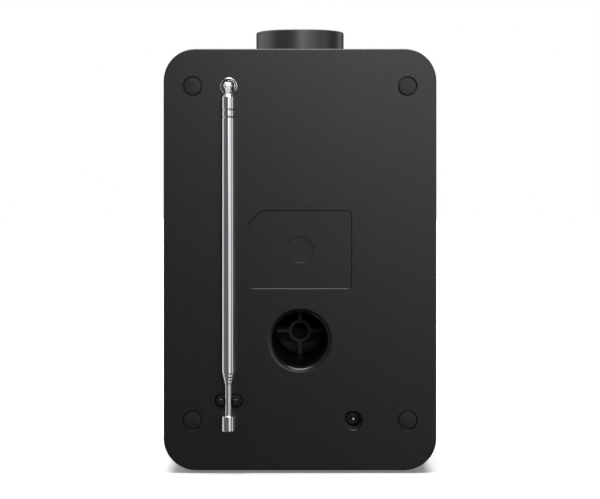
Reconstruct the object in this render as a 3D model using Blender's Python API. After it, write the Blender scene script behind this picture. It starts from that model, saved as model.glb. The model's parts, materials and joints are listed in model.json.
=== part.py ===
"""Upright tabletop radio: a two-part moulded cabinet with a push-and-turn knob on top,
a bass port, a DC inlet and a folding telescopic antenna on its rear face.

The front faces -Y, the rear face is at +Y, and Z is up. The origin is on the surface the
radio stands on. Every length below is in millimetres, and add_part turns it into metres.
"""
import math

import bmesh
import bpy
from mathutils import Vector

MM = 0.001
GAP = 0.3

# Cabinet
CABINET_WIDTH = 136.0
CABINET_HEIGHT = 210.0
CABINET_DEPTH = 112.0
CORNER_RADIUS = 16.0
STAND_OFF = 1.5
WALL = 2.6
REAR_WALL = 3.0
BAFFLE_WALL = 4.0
EDGE_ROUND = 0.7
PARTING_Y = 33.0
PARTING_GAP = 1.0
SEAL_INSET = 0.9
REAR_Y = CABINET_DEPTH / 2
FRONT_Y = -REAR_Y
MID_Z = STAND_OFF + CABINET_HEIGHT / 2
TOP_Z = STAND_OFF + CABINET_HEIGHT
COVER_INNER_Y = REAR_Y - REAR_WALL

# Front recess that holds the fascia and the grille
FRONT_RIM = 3.0
RECESS_DEPTH = 6.0
BAFFLE_FRONT_Y = FRONT_Y + RECESS_DEPTH
BAFFLE_REAR_Y = BAFFLE_FRONT_Y + BAFFLE_WALL
FASCIA_HEIGHT = 60.0
FASCIA_THICKNESS = 2.6
FASCIA_FRONT_Y = FRONT_Y + 0.6

# Cabinet screws under rubber plugs
SCREW_X = 53.65
SCREW_Z = (192.8, 26.3)
WELL_RADIUS = 4.9
WELL_DEPTH = 2.8
PLUG_RADIUS = 4.45
PLUG_INSET = 0.1
SCREW_BOSS_RADIUS = 7.0
SCREW_BOSS_FRONT_Y = 45.0
SCREW_HEAD_SEAT_Y = 49.0
SCREW_HEAD_HOLE_RADIUS = 3.4
PILOT_RADIUS = 1.8
PILOT_DEPTH = 26.0
POST_RADIUS = 5.0

# Bass port
PORT_Z = 66.15
PORT_LIP_RADIUS = 16.15
PORT_LIP_ROUND = 2.7
PORT_OUTER_RADIUS = 15.3
PORT_FAR_RADIUS = 12.15
PORT_BOSS_RADIUS = 19.0
PORT_BOSS_FRONT_Y = 46.0
GUARD_DEPTH = 66.0
GUARD_THICKNESS = 2.0
GUARD_RING_OUTER = 6.25
GUARD_RING_INNER = 4.2
GUARD_SPOKE_WIDTH = 2.2
PORT_FRONT_Y = -14.0

# Label recess in the rear face
LABEL_WIDTH = 51.5
LABEL_HEIGHT = 38.9
LABEL_Z = 111.4
LABEL_DEPTH = 0.5
LABEL_CORNER = 2.2
LABEL_CHAMFER = 6.3
DIMPLE_RADIUS = 6.6
DIMPLE_DEPTH = 0.4

# DC inlet
JACK_X = -26.6
JACK_Z = 26.25
JACK_HOLE_RADIUS = 4.4
JACK_FACE_Y = 51.3
JACK_BORE_RADIUS = 3.2
JACK_DEPTH = 13.0
JACK_HALF_WIDTH = 4.8
JACK_HALF_HEIGHT = 5.4
JACK_BOSS_RADIUS = 7.5

# Antenna, folded down along the rear face
ANTENNA_X = 35.5
ANTENNA_Z = 192.8
ANTENNA_Y = 61.0
ANTENNA_STEPS = 20
SECTION_WALL = 0.35
SECTION_RADII = (3.6, 3.1, 2.65, 2.2)
SECTION_LOW_Z = (50.0, 48.25, 46.7, 45.0)
SECTION_TOP_Z = (187.5, 174.6, 173.0, 171.4)
PLUG_LOW_Z = 175.2
ROD_RADIUS = 1.75
ROD_TOP_Z = 169.8
TIP_LOW_Z = 21.6
TIP_TOP_Z = 29.25
GROOVE_Z = (177.1, 180.8)
TONGUE_THICKNESS = 2.4
TONGUE_HALF_WIDTH = 2.0
HINGE_PIN_RADIUS = 0.75
HEAD_RADIUS = 2.95
SPINDLE_RADIUS = 2.0
SPINDLE_HOLE_RADIUS = 2.3
BEZEL_OUTER_RADIUS = 4.35
BEZEL_INNER_RADIUS = 3.8
BEZEL_SEAT_Y = 53.4
MOUNT_BOSS_RADIUS = 8.0
MOUNT_BOSS_FRONT_Y = 49.0

# Antenna clip
CLIP_Z = 36.1
CLIP_GAP = 4.4
CLIP_PRONG_WIDTH = 2.9
CLIP_PRONG_HEIGHT = 3.3
CLIP_TOP_Y = 62.2
CLIP_BASE_WIDTH = 13.0
CLIP_BASE_HEIGHT = 5.8
CLIP_BASE_DROP = 1.0
CLIP_POCKET_DEPTH = 2.2

# Knob and encoder
KNOB_RADIUS = 23.1
KNOB_LOW_Z = 212.5
KNOB_TOP_Z = 224.5
SHAFT_RADIUS = 3.0
SHAFT_LOW_Z = 205.2
SHAFT_TOP_Z = 221.0
PLUNGER_LOW_Z = 203.6
KNOB_WALL = 1.3
KNOB_CEILING = 1.6
BUSHING_RADIUS = 4.5
BUSHING_TOP_Z = 214.6

# Controls on the front
BUTTON_NAMES = ("power", "source", "menu", "preset", "back", "select")
BUTTON_PITCH = 18.0
BUTTON_Z = 158.5
BUTTON_WIDTH = 11.0
BUTTON_HEIGHT = 5.0
DISPLAY_Z = 186.5
DISPLAY_WIDTH = 76.0
DISPLAY_HEIGHT = 32.0
CONTROL_WINDOW_WIDTH = 96.0
CONTROL_WINDOW_HEIGHT = 44.0
CONTROL_WINDOW_RISE = 14.5
CONTROL_BOARD_FRONT_Y = -47.4
BUTTON_STEM_REAR_Y = -48.3

# Loudspeaker, axis along Y
SPEAKER_Z = 100.0
SPEAKER_HOLE_RADIUS = 33.0
FLANGE_RADIUS = 43.0
SPEAKER_SCREW_CIRCLE = 40.0
CONE_RADIUS = 27.0
MAGNET_RADIUS = 22.0
MAGNET_REAR_Y = -17.0
BASKET_SEAT_Y = -28.3
SPEAKER_SCREW_HOLE_RADIUS = 1.5
GRILLE_HOLE_RADIUS = 37.0

# Boards
BOARD_THICKNESS = 1.6
MAIN_BOARD_FRONT_Y = 40.0
BOARD_POST_RADIUS = 3.0

CORNER_STEPS = 6
ROUND_STEPS = 24
PORT_STEPS = 36
KNOB_STEPS = 48
SMOOTH_ANGLE = math.radians(35)

AXIS_FRAMES = {
    "X": (Vector((0, 1, 0)), Vector((0, 0, 1)), Vector((1, 0, 0))),
    "Y": (Vector((0, 0, 1)), Vector((1, 0, 0)), Vector((0, 1, 0))),
    "Z": (Vector((1, 0, 0)), Vector((0, 1, 0)), Vector((0, 0, 1))),
}
ORIGINS = {}


# Outlines and solids

def rounded_outline(width, height, radii, centre=(0, 0), steps=CORNER_STEPS):
    """A rectangle with round corners, anticlockwise from the lower right corner."""
    points = []
    for corner, (side_a, side_b) in enumerate(((1, -1), (1, 1), (-1, 1), (-1, -1))):
        radius = radii[corner] if isinstance(radii, tuple) else radii
        middle_a = centre[0] + side_a * (width / 2 - radius)
        middle_b = centre[1] + side_b * (height / 2 - radius)
        for step in range(steps + 1):
            angle = math.pi / 2 * (corner - 1 + step / steps)
            points.append((middle_a + radius * math.cos(angle), middle_b + radius * math.sin(angle)))
    return points


def ring_at(outline, axis, level):
    """The outline as a ring of points in the plane across an axis."""
    if axis == "Y":
        return [(a, level, b) for a, b in outline]
    if axis == "Z":
        return [(a, b, level) for a, b in outline]
    return [(level, a, b) for a, b in outline]


def loft(rings, closed=False):
    """Skin rings of equal point counts, capping the ends unless the last joins the first."""
    bm = bmesh.new()
    loops = [[bm.verts.new(point) for point in ring] for ring in rings]
    pairs = list(zip(loops, loops[1:]))
    if closed:
        pairs.append((loops[-1], loops[0]))
    else:
        bm.faces.new(loops[0])
        bm.faces.new(loops[-1])
    count = len(rings[0])
    for near, far in pairs:
        for k in range(count):
            following = (k + 1) % count
            bm.faces.new((near[k], near[following], far[following], far[k]))
    bmesh.ops.recalc_face_normals(bm, faces=bm.faces)
    return bm


def prism(outline, axis, low, high):
    return loft([ring_at(outline, axis, low), ring_at(outline, axis, high)])


def block(x_range, y_range, z_range):
    corners = [(x_range[0], y_range[0]), (x_range[1], y_range[0]),
               (x_range[1], y_range[1]), (x_range[0], y_range[1])]
    return prism(corners, "Z", z_range[0], z_range[1])


def lathe(profile, centre, axis, steps=ROUND_STEPS, closed=False):
    """Turn (radius, height) points about an axis through centre; heights are absolute."""
    across, beside, along = AXIS_FRAMES[axis]
    base = Vector(centre)
    base -= along * base.dot(along)
    bm = bmesh.new()
    rows = []
    for radius, height in profile:
        middle = base + along * height
        if radius == 0:
            rows.append([bm.verts.new(middle)])
            continue
        row = []
        for k in range(steps):
            angle = 2 * math.pi * k / steps
            row.append(bm.verts.new(middle + (across * math.cos(angle) + beside * math.sin(angle)) * radius))
        rows.append(row)
    pairs = list(zip(rows, rows[1:]))
    if closed:
        pairs.append((rows[-1], rows[0]))
    for near, far in pairs:
        for k in range(steps):
            following = (k + 1) % steps
            corners = [near[k % len(near)], near[following % len(near)],
                       far[following % len(far)], far[k % len(far)]]
            bm.faces.new(list(dict.fromkeys(corners)))
    bmesh.ops.recalc_face_normals(bm, faces=bm.faces)
    return bm


def cylinder(radius, low, high, centre, axis, steps=ROUND_STEPS):
    return lathe([(0, low), (radius, low), (radius, high), (0, high)], centre, axis, steps)


def tube(outer, inner, low, high, centre, axis, steps=ROUND_STEPS):
    return lathe([(outer, low), (outer, high), (inner, high), (inner, low)], centre, axis, steps, closed=True)


def arc(centre, radius, start, end, steps):
    """Points of an arc in a profile plane, with its angles in degrees."""
    points = []
    for step in range(steps + 1):
        angle = math.radians(start + (end - start) * step / steps)
        points.append((centre[0] + radius * math.cos(angle), centre[1] + radius * math.sin(angle)))
    return points


def together(*meshes):
    """Several solids that don't touch, in one mesh for one cut or union."""
    joined = bmesh.new()
    for mesh in meshes:
        twins = {vertex: joined.verts.new(vertex.co) for vertex in mesh.verts}
        for face in mesh.faces:
            joined.faces.new([twins[vertex] for vertex in face.verts])
        mesh.free()
    return joined


# Objects

def clear_scene():
    for thing in list(bpy.data.objects):
        bpy.data.objects.remove(thing)


def make_material(name, color, roughness, metallic=0.0):
    material = bpy.data.materials.new(name)
    material.use_nodes = True
    shader = material.node_tree.nodes["Principled BSDF"]
    shader.inputs["Base Color"].default_value = (*color, 1.0)
    shader.inputs["Roughness"].default_value = roughness
    shader.inputs["Metallic"].default_value = metallic
    material.diffuse_color = (*color, 1.0)
    return material


def place(thing, origin, parent):
    """Put an object at a world point, under a parent that has only been moved."""
    world = Vector(origin) * MM
    start = Vector((0, 0, 0))
    if parent is not None:
        thing.parent = parent
        start = ORIGINS[parent.name]
    thing.location = world - start
    ORIGINS[thing.name] = world
    bpy.context.scene.collection.objects.link(thing)


def axis_point(name, origin, parent=None):
    empty = bpy.data.objects.new(name, None)
    place(empty, origin, parent)
    return empty


def object_from(name, bm, origin, parent):
    shift = Vector(origin)
    for vertex in bm.verts:
        vertex.co = (vertex.co - shift) * MM
    mesh = bpy.data.meshes.new(name)
    bm.to_mesh(mesh)
    bm.free()
    mesh.shade_smooth()
    mesh.set_sharp_from_angle(angle=SMOOTH_ANGLE)
    thing = bpy.data.objects.new(name, mesh)
    place(thing, origin, parent)
    return thing


def add_part(name, bm, look, origin=(0, 0, 0), parent=None):
    part = object_from(name, bm, origin, parent)
    part.data.materials.append(make_material(name, *look))
    return part


def combine(part, bm, operation):
    helper = object_from(f"{part.name}_{operation.lower()}_{len(part.modifiers)}", bm, (0, 0, 0), None)
    helper.hide_render = True
    helper.display_type = "WIRE"
    step = part.modifiers.new(operation.title(), "BOOLEAN")
    step.operation = operation
    step.object = helper


def cut(part, bm):
    combine(part, bm, "DIFFERENCE")


def fuse(part, bm):
    combine(part, bm, "UNION")


# Looks: colour, roughness and metallic value

CABINET_LOOK = ((0.030, 0.030, 0.032), 0.48)
RUBBER_LOOK = ((0.022, 0.022, 0.023), 0.75)
BLACK_LOOK = ((0.012, 0.012, 0.013), 0.40)
KNOB_LOOK = ((0.045, 0.045, 0.048), 0.32)
CHROME_LOOK = ((0.82, 0.82, 0.83), 0.09, 1.0)
STEEL_LOOK = ((0.50, 0.50, 0.51), 0.30, 1.0)
CLOTH_LOOK = ((0.020, 0.020, 0.022), 0.90)
PAPER_LOOK = ((0.060, 0.060, 0.060), 0.80)
BOARD_LOOK = ((0.020, 0.100, 0.040), 0.50)
FERRITE_LOOK = ((0.080, 0.080, 0.085), 0.55)
WINDOW_LOOK = ((0.006, 0.006, 0.007), 0.06)
SEAL_LOOK = ((0.010, 0.010, 0.010), 0.85)


# Cabinet

def cabinet_outline(inset):
    width = CABINET_WIDTH - 2 * inset
    height = CABINET_HEIGHT - 2 * inset
    return rounded_outline(width, height, CORNER_RADIUS - inset, (0, MID_Z))


def screw_places():
    return [(x, 0, z) for z in SCREW_Z for x in (SCREW_X, -SCREW_X)]


def round_edge(face_y, inward):
    """Rings that round the outer edge of an end face; inward is the way off the face along Y."""
    rings = []
    for inset, level in arc((EDGE_ROUND, EDGE_ROUND), EDGE_ROUND, 180, 270, 2):
        rings.append(ring_at(cabinet_outline(inset), "Y", face_y + inward * level))
    return rings


def make_front_housing():
    inner = cabinet_outline(WALL)
    rings = [
        ring_at(inner, "Y", BAFFLE_REAR_Y),
        ring_at(inner, "Y", PARTING_Y),
        ring_at(cabinet_outline(0), "Y", PARTING_Y),
        *round_edge(FRONT_Y, 1),
        ring_at(cabinet_outline(FRONT_RIM), "Y", FRONT_Y),
        ring_at(cabinet_outline(FRONT_RIM), "Y", BAFFLE_FRONT_Y),
    ]
    housing = add_part("front_housing", loft(rings), CABINET_LOOK)
    post_front = BAFFLE_REAR_Y - 1.0
    post_rear = SCREW_BOSS_FRONT_Y - GAP
    posts = [cylinder(POST_RADIUS, post_front, post_rear, spot, "Y", 14) for spot in screw_places()]
    fuse(housing, together(*posts))
    holes = [cylinder(PILOT_RADIUS, post_rear - PILOT_DEPTH, post_rear + 2, spot, "Y", 12)
             for spot in screw_places()]
    holes.append(cylinder(SPEAKER_HOLE_RADIUS, FRONT_Y, BAFFLE_REAR_Y + 5, (0, 0, SPEAKER_Z), "Y", PORT_STEPS))
    holes += [cylinder(SPEAKER_SCREW_HOLE_RADIUS, BAFFLE_REAR_Y - 3, BAFFLE_REAR_Y + 3, spot, "Y", 12)
              for spot in speaker_screw_places()]
    window = rounded_outline(CONTROL_WINDOW_WIDTH, CONTROL_WINDOW_HEIGHT, 3.0,
                             (0, BUTTON_Z + CONTROL_WINDOW_RISE), 2)
    holes.append(prism(window, "Y", FRONT_Y, BAFFLE_REAR_Y + 5))
    holes.append(cylinder(BUSHING_RADIUS + GAP, TOP_Z - 5, TOP_Z + 5, (0, 0, 0), "Z"))
    cut(housing, together(*holes))
    return housing


def port_mouth_cutter():
    """The bore for the port tube, and the bell-shaped lip in front of it."""
    lip_low = REAR_Y - PORT_LIP_ROUND
    lip = arc((PORT_LIP_RADIUS, lip_low), PORT_LIP_ROUND, 180, 90, 6)
    past = REAR_Y + 2
    seat = PORT_OUTER_RADIUS + GAP
    profile = [(0, 40.0), (seat, 40.0), (seat, lip_low), *lip, (PORT_LIP_RADIUS, past), (0, past)]
    return lathe(profile, (0, 0, PORT_Z), "Y", PORT_STEPS)


def label_outline(inset):
    """The label recess: a rounded rectangle whose upper +X corner is cut off."""
    right = LABEL_WIDTH / 2 - inset
    top = LABEL_HEIGHT / 2 - inset
    chamfer = LABEL_CHAMFER - inset * (2 - math.sqrt(2))
    radius = LABEL_CORNER - inset
    points = []
    points += arc((right - radius, -top + radius), radius, -90, 0, 4)
    points += [(right, top - chamfer), (right - chamfer, top)]
    points += arc((-right + radius, top - radius), radius, 90, 180, 4)
    points += arc((-right + radius, -top + radius), radius, 180, 270, 4)
    return [(x, z + LABEL_Z) for x, z in points]


def make_rear_cover():
    inner = cabinet_outline(WALL)
    front = PARTING_Y + PARTING_GAP
    rings = [
        ring_at(inner, "Y", COVER_INNER_Y),
        ring_at(inner, "Y", front),
        ring_at(cabinet_outline(0), "Y", front),
        *round_edge(REAR_Y, -1),
    ]
    cover = add_part("rear_cover", loft(rings), CABINET_LOOK)
    past = REAR_Y + 2
    cut(cover, cylinder(DIMPLE_RADIUS, REAR_Y - LABEL_DEPTH - DIMPLE_DEPTH, past, (0, 0, LABEL_Z), "Y"))
    root = COVER_INNER_Y + 0.6
    bosses = [cylinder(SCREW_BOSS_RADIUS, SCREW_BOSS_FRONT_Y, root, spot, "Y", 20) for spot in screw_places()]
    bosses.append(cylinder(MOUNT_BOSS_RADIUS, MOUNT_BOSS_FRONT_Y, root, (ANTENNA_X, 0, ANTENNA_Z), "Y", 24))
    bosses.append(cylinder(PORT_BOSS_RADIUS, PORT_BOSS_FRONT_Y, root, (0, 0, PORT_Z), "Y", PORT_STEPS))
    bosses.append(cylinder(JACK_BOSS_RADIUS, JACK_FACE_Y + GAP, root, (JACK_X, 0, JACK_Z), "Y"))
    board_rear = MAIN_BOARD_FRONT_Y + BOARD_THICKNESS
    bosses += [cylinder(BOARD_POST_RADIUS, board_rear + GAP, root, spot, "Y", 12)
               for spot in board_post_places()]
    fuse(cover, together(*bosses))
    holes = [port_mouth_cutter()]
    for spot in screw_places():
        profile = [(0, 40.0), (PILOT_RADIUS, 40.0), (PILOT_RADIUS, SCREW_HEAD_SEAT_Y),
                   (SCREW_HEAD_HOLE_RADIUS, SCREW_HEAD_SEAT_Y), (SCREW_HEAD_HOLE_RADIUS, REAR_Y - WELL_DEPTH),
                   (WELL_RADIUS, REAR_Y - WELL_DEPTH), (WELL_RADIUS, past), (0, past)]
        holes.append(lathe(profile, spot, "Y"))
    jack_profile = [(0, 45.0), (JACK_HOLE_RADIUS, 45.0), (JACK_HOLE_RADIUS, REAR_Y - 0.5),
                    (JACK_HOLE_RADIUS + 0.5, REAR_Y), (JACK_HOLE_RADIUS + 0.5, past), (0, past)]
    holes.append(lathe(jack_profile, (JACK_X, 0, JACK_Z), "Y"))
    seat_radius = BEZEL_OUTER_RADIUS + GAP
    antenna_profile = [(0, 45.0), (SPINDLE_HOLE_RADIUS, 45.0), (SPINDLE_HOLE_RADIUS, BEZEL_SEAT_Y),
                       (seat_radius, BEZEL_SEAT_Y), (seat_radius, past), (0, past)]
    holes.append(lathe(antenna_profile, (ANTENNA_X, 0, ANTENNA_Z), "Y"))
    holes.append(prism(clip_outline(-GAP), "Y", REAR_Y - CLIP_POCKET_DEPTH, past))
    holes.append(prism(label_outline(0), "Y", REAR_Y - LABEL_DEPTH, past))
    cut(cover, together(*holes))
    return cover


def clip_outline(inset):
    width = CLIP_BASE_WIDTH - 2 * inset
    height = CLIP_BASE_HEIGHT - 2 * inset
    return capsule(width, height, (ANTENNA_X, CLIP_Z))


def board_post_places():
    return [(x, 0, z) for x in (-44.0, 44.0) for z in (98.0, 178.0)]


def make_cabinet_seal():
    outer = cabinet_outline(SEAL_INSET)
    inner = cabinet_outline(WALL - 0.4)
    low = PARTING_Y + GAP
    high = PARTING_Y + PARTING_GAP - GAP
    rings = [ring_at(outer, "Y", low), ring_at(outer, "Y", high),
             ring_at(inner, "Y", high), ring_at(inner, "Y", low)]
    return add_part("cabinet_seal", loft(rings, closed=True), SEAL_LOOK)


def make_base_pad():
    outline = rounded_outline(96.0, 72.0, 8.0, (0, -6.0), 4)
    return add_part("base_pad", prism(outline, "Z", 0, STAND_OFF - GAP), RUBBER_LOOK)


def make_cabinet_fasteners():
    for number, spot in enumerate(screw_places(), 1):
        plug_high = REAR_Y - PLUG_INSET
        plug_low = REAR_Y - WELL_DEPTH + GAP
        plug = [(0, plug_low), (PLUG_RADIUS, plug_low), (PLUG_RADIUS, plug_high - 0.3),
                (PLUG_RADIUS - 0.3, plug_high), (0, plug_high)]
        add_part(f"screw_plug_{number}", lathe(plug, spot, "Y"), RUBBER_LOOK)
        screw = [(0, 24.0), (1.2, 25.0), (1.5, 26.5), (1.5, 49.3), (3.0, 49.3), (3.0, 51.6),
                 (1.4, 51.9), (1.0, 50.6), (0, 50.6)]
        add_part(f"housing_screw_{number}", lathe(screw, spot, "Y", 12), STEEL_LOOK)


# Bass port

def make_port_tube():
    rear = REAR_Y - PORT_LIP_ROUND - GAP
    guard_rear = REAR_Y - GUARD_DEPTH
    guard_front = guard_rear - GUARD_THICKNESS
    lip_radius = PORT_LIP_RADIUS - PORT_LIP_ROUND
    profile = [(PORT_OUTER_RADIUS, PORT_FRONT_Y), (PORT_OUTER_RADIUS, rear), (lip_radius, rear),
               (PORT_FAR_RADIUS, guard_rear), (PORT_FAR_RADIUS, PORT_FRONT_Y)]
    axis = (0, 0, PORT_Z)
    port = add_part("port_tube", lathe(profile, axis, "Y", PORT_STEPS, closed=True), BLACK_LOOK)
    reach = PORT_FAR_RADIUS + 1.0
    half = GUARD_SPOKE_WIDTH / 2
    quarter = [(reach, -half), (reach, half), (half, half)]
    cross = []
    for turn in range(4):
        cosine = round(math.cos(turn * math.pi / 2))
        sine = round(math.sin(turn * math.pi / 2))
        cross += [(a * cosine - b * sine, PORT_Z + a * sine + b * cosine) for a, b in quarter]
    fuse(port, prism(cross, "Y", guard_front, guard_rear))
    fuse(port, cylinder(GUARD_RING_OUTER, guard_front, guard_rear, axis, "Y"))
    cut(port, cylinder(GUARD_RING_INNER, guard_front - 1, guard_rear + 1, axis, "Y"))
    return port


# DC inlet

def make_dc_inlet():
    rear = JACK_FACE_Y
    x_range = (JACK_X - JACK_HALF_WIDTH, JACK_X + JACK_HALF_WIDTH)
    z_range = (JACK_Z - JACK_HALF_HEIGHT, JACK_Z + JACK_HALF_HEIGHT)
    jack = add_part("dc_jack_body", block(x_range, (rear - JACK_DEPTH, rear), z_range), BLACK_LOOK)
    cut(jack, cylinder(JACK_BORE_RADIUS, rear - 9.5, rear + 1, (JACK_X, 0, JACK_Z), "Y"))
    pin = [(0, rear - 9.2), (1.05, rear - 9.2), (1.05, rear - 1.2), (0.6, rear - 0.6), (0, rear - 0.4)]
    add_part("dc_jack_pin", lathe(pin, (JACK_X, 0, JACK_Z), "Y", 16), CHROME_LOOK)
    low = z_range[0] - GAP
    board = block((JACK_X - 12, JACK_X + 12), (30.0, 50.0), (low - BOARD_THICKNESS, low))
    add_part("jack_board", board, BOARD_LOOK)


# Antenna

def make_antenna_mount():
    axis = (ANTENNA_X, 0, ANTENNA_Z)
    low = BEZEL_SEAT_Y + GAP
    top = REAR_Y + 0.45
    bezel = [(BEZEL_INNER_RADIUS, low), (BEZEL_OUTER_RADIUS, low), (BEZEL_OUTER_RADIUS, top - 0.2),
             (BEZEL_OUTER_RADIUS - 0.2, top), (BEZEL_INNER_RADIUS + 0.18, top),
             (BEZEL_INNER_RADIUS, top - 0.2)]
    add_part("antenna_bezel", lathe(bezel, axis, "Y", closed=True), CHROME_LOOK)
    swivel_axis = axis_point("antenna_swivel_axis", (ANTENNA_X, REAR_Y, ANTENNA_Z))
    dome = arc((0, ANTENNA_Y), HEAD_RADIUS, 0, 90, 6)[:-1]
    collar = BEZEL_INNER_RADIUS - GAP - 0.05
    profile = [(0, 44.0), (SPINDLE_RADIUS, 44.0), (SPINDLE_RADIUS, low), (collar, low),
               (collar, REAR_Y + 0.4), (HEAD_RADIUS, REAR_Y + 1.0), *dome, (0, ANTENNA_Y + HEAD_RADIUS)]
    swivel = add_part("antenna_swivel", lathe(profile, axis, "Y", ANTENNA_STEPS), CHROME_LOOK,
                      (ANTENNA_X, REAR_Y, ANTENNA_Z), swivel_axis)
    half_slot = TONGUE_THICKNESS / 2 + 0.25
    slot_top = ANTENNA_Z + TONGUE_HALF_WIDTH + GAP
    cut(swivel, block((ANTENNA_X - half_slot, ANTENNA_X + half_slot), (REAR_Y + 1.6, ANTENNA_Y + 5),
                      (ANTENNA_Z - 5, slot_top)))
    pivot = (ANTENNA_X, ANTENNA_Y, ANTENNA_Z)
    cut(swivel, cylinder(HINGE_PIN_RADIUS + 0.1, ANTENNA_X - 5, ANTENNA_X + 5, pivot, "X", 16))
    pin = cylinder(HINGE_PIN_RADIUS, ANTENNA_X - 2.7, ANTENNA_X + 2.7, pivot, "X", 16)
    add_part("antenna_hinge_pin", pin, STEEL_LOOK, pivot, swivel_axis)
    nut = add_part("antenna_nut", cylinder(4.2, 45.6, 48.6, axis, "Y", 6), STEEL_LOOK,
                   (ANTENNA_X, REAR_Y, ANTENNA_Z), swivel_axis)
    cut(nut, cylinder(SPINDLE_HOLE_RADIUS, 44.0, 50.0, axis, "Y", 16))
    return swivel_axis


def make_knuckle(tilt_axis):
    """The flat tongue that pivots in the head, on a plug held in the outer tube's top."""
    pivot = (ANTENNA_X, ANTENNA_Y, ANTENNA_Z)
    top = SECTION_TOP_Z[0]
    bore = SECTION_RADII[0] - SECTION_WALL - 0.1
    plug = [(0, PLUG_LOW_Z), (bore, PLUG_LOW_Z), (bore, top), (2.2, top + 0.7), (1.2, top + 1.3),
            (0, top + 1.3)]
    knuckle = add_part("antenna_knuckle", lathe(plug, pivot, "Z", ANTENNA_STEPS), CHROME_LOOK,
                       pivot, tilt_axis)
    outline = [(ANTENNA_Y - TONGUE_HALF_WIDTH, top - 1.0), (ANTENNA_Y + TONGUE_HALF_WIDTH, top - 1.0)]
    outline += arc((ANTENNA_Y, ANTENNA_Z), TONGUE_HALF_WIDTH, 0, 180, 10)
    tongue_half = TONGUE_THICKNESS / 2
    fuse(knuckle, prism(outline, "X", ANTENNA_X - tongue_half, ANTENNA_X + tongue_half))
    cut(knuckle, cylinder(HINGE_PIN_RADIUS + 0.1, ANTENNA_X - 3, ANTENNA_X + 3, pivot, "X", 16))


def outer_tube_profile(radius, bore, low, top):
    """The outer tube, with rolled ends and the two grooves crimped into the plug."""
    depth = 0.2
    half = 0.5
    points = [(bore, low), (radius - 0.2, low), (radius, low + 0.3)]
    for level in GROOVE_Z:
        points += [(radius, level - half), (radius - depth, level - 0.15),
                   (radius - depth, level + 0.15), (radius, level + half)]
    points += [(radius, top - 0.3), (radius - 0.2, top), (bore, top)]
    return points


def make_antenna():
    swivel_axis = make_antenna_mount()
    pivot = (ANTENNA_X, ANTENNA_Y, ANTENNA_Z)
    tilt_axis = axis_point("antenna_tilt_axis", pivot, swivel_axis)
    make_knuckle(tilt_axis)
    holder = tilt_axis
    sections = zip(SECTION_RADII, SECTION_LOW_Z, SECTION_TOP_Z)
    for number, (radius, low, top) in enumerate(sections, 1):
        bore = radius - SECTION_WALL
        if number == 1:
            profile = outer_tube_profile(radius, bore, low, top)
        else:
            profile = [(bore, low), (radius - 0.15, low), (radius, low + 0.2), (radius, top), (bore, top)]
        holder = add_part(f"antenna_tube_{number}",
                          lathe(profile, pivot, "Z", ANTENNA_STEPS, closed=True), CHROME_LOOK,
                          (ANTENNA_X, ANTENNA_Y, top), holder)
    rod_low = TIP_LOW_Z + 3.4
    rod = cylinder(ROD_RADIUS, rod_low, ROD_TOP_Z, pivot, "Z", ANTENNA_STEPS)
    rod_part = add_part("antenna_rod", rod, CHROME_LOOK, (ANTENNA_X, ANTENNA_Y, ROD_TOP_Z), holder)
    radius = SECTION_RADII[0]
    tip = [(0, TIP_LOW_Z), (radius - 0.3, TIP_LOW_Z), (radius, TIP_LOW_Z + 0.3), (radius, TIP_TOP_Z - 0.2),
           (radius - 0.2, TIP_TOP_Z), (ROD_RADIUS + 0.1, TIP_TOP_Z), (ROD_RADIUS + 0.1, rod_low - 0.3),
           (0, rod_low - 0.3)]
    add_part("antenna_tip", lathe(tip, pivot, "Z", ANTENNA_STEPS), CHROME_LOOK,
             (ANTENNA_X, ANTENNA_Y, TIP_TOP_Z), rod_part)


def make_antenna_clip():
    """A base let into the rear cover, with two upright prongs for the rod to lie between."""
    base_low = REAR_Y - CLIP_POCKET_DEPTH + GAP
    base = prism(clip_outline(0), "Y", base_low, REAR_Y - CLIP_BASE_DROP)
    clip = add_part("antenna_clip", base, BLACK_LOOK)
    prongs = []
    for side in (-1, 1):
        middle = ANTENNA_X + side * (CLIP_GAP + CLIP_PRONG_WIDTH) / 2
        rings = []
        for inset, level in ((0, base_low + 0.4), (0, CLIP_TOP_Y - 1.0), (0.25, CLIP_TOP_Y - 0.3),
                             (0.8, CLIP_TOP_Y)):
            outline = rounded_outline(CLIP_PRONG_WIDTH - 2 * inset, CLIP_PRONG_HEIGHT - 2 * inset,
                                      0.8 - inset * 0.8, (middle, CLIP_Z), 3)
            rings.append(ring_at(outline, "Y", level))
        prongs.append(loft(rings))
    fuse(clip, together(*prongs))


# Knob and encoder

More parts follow.
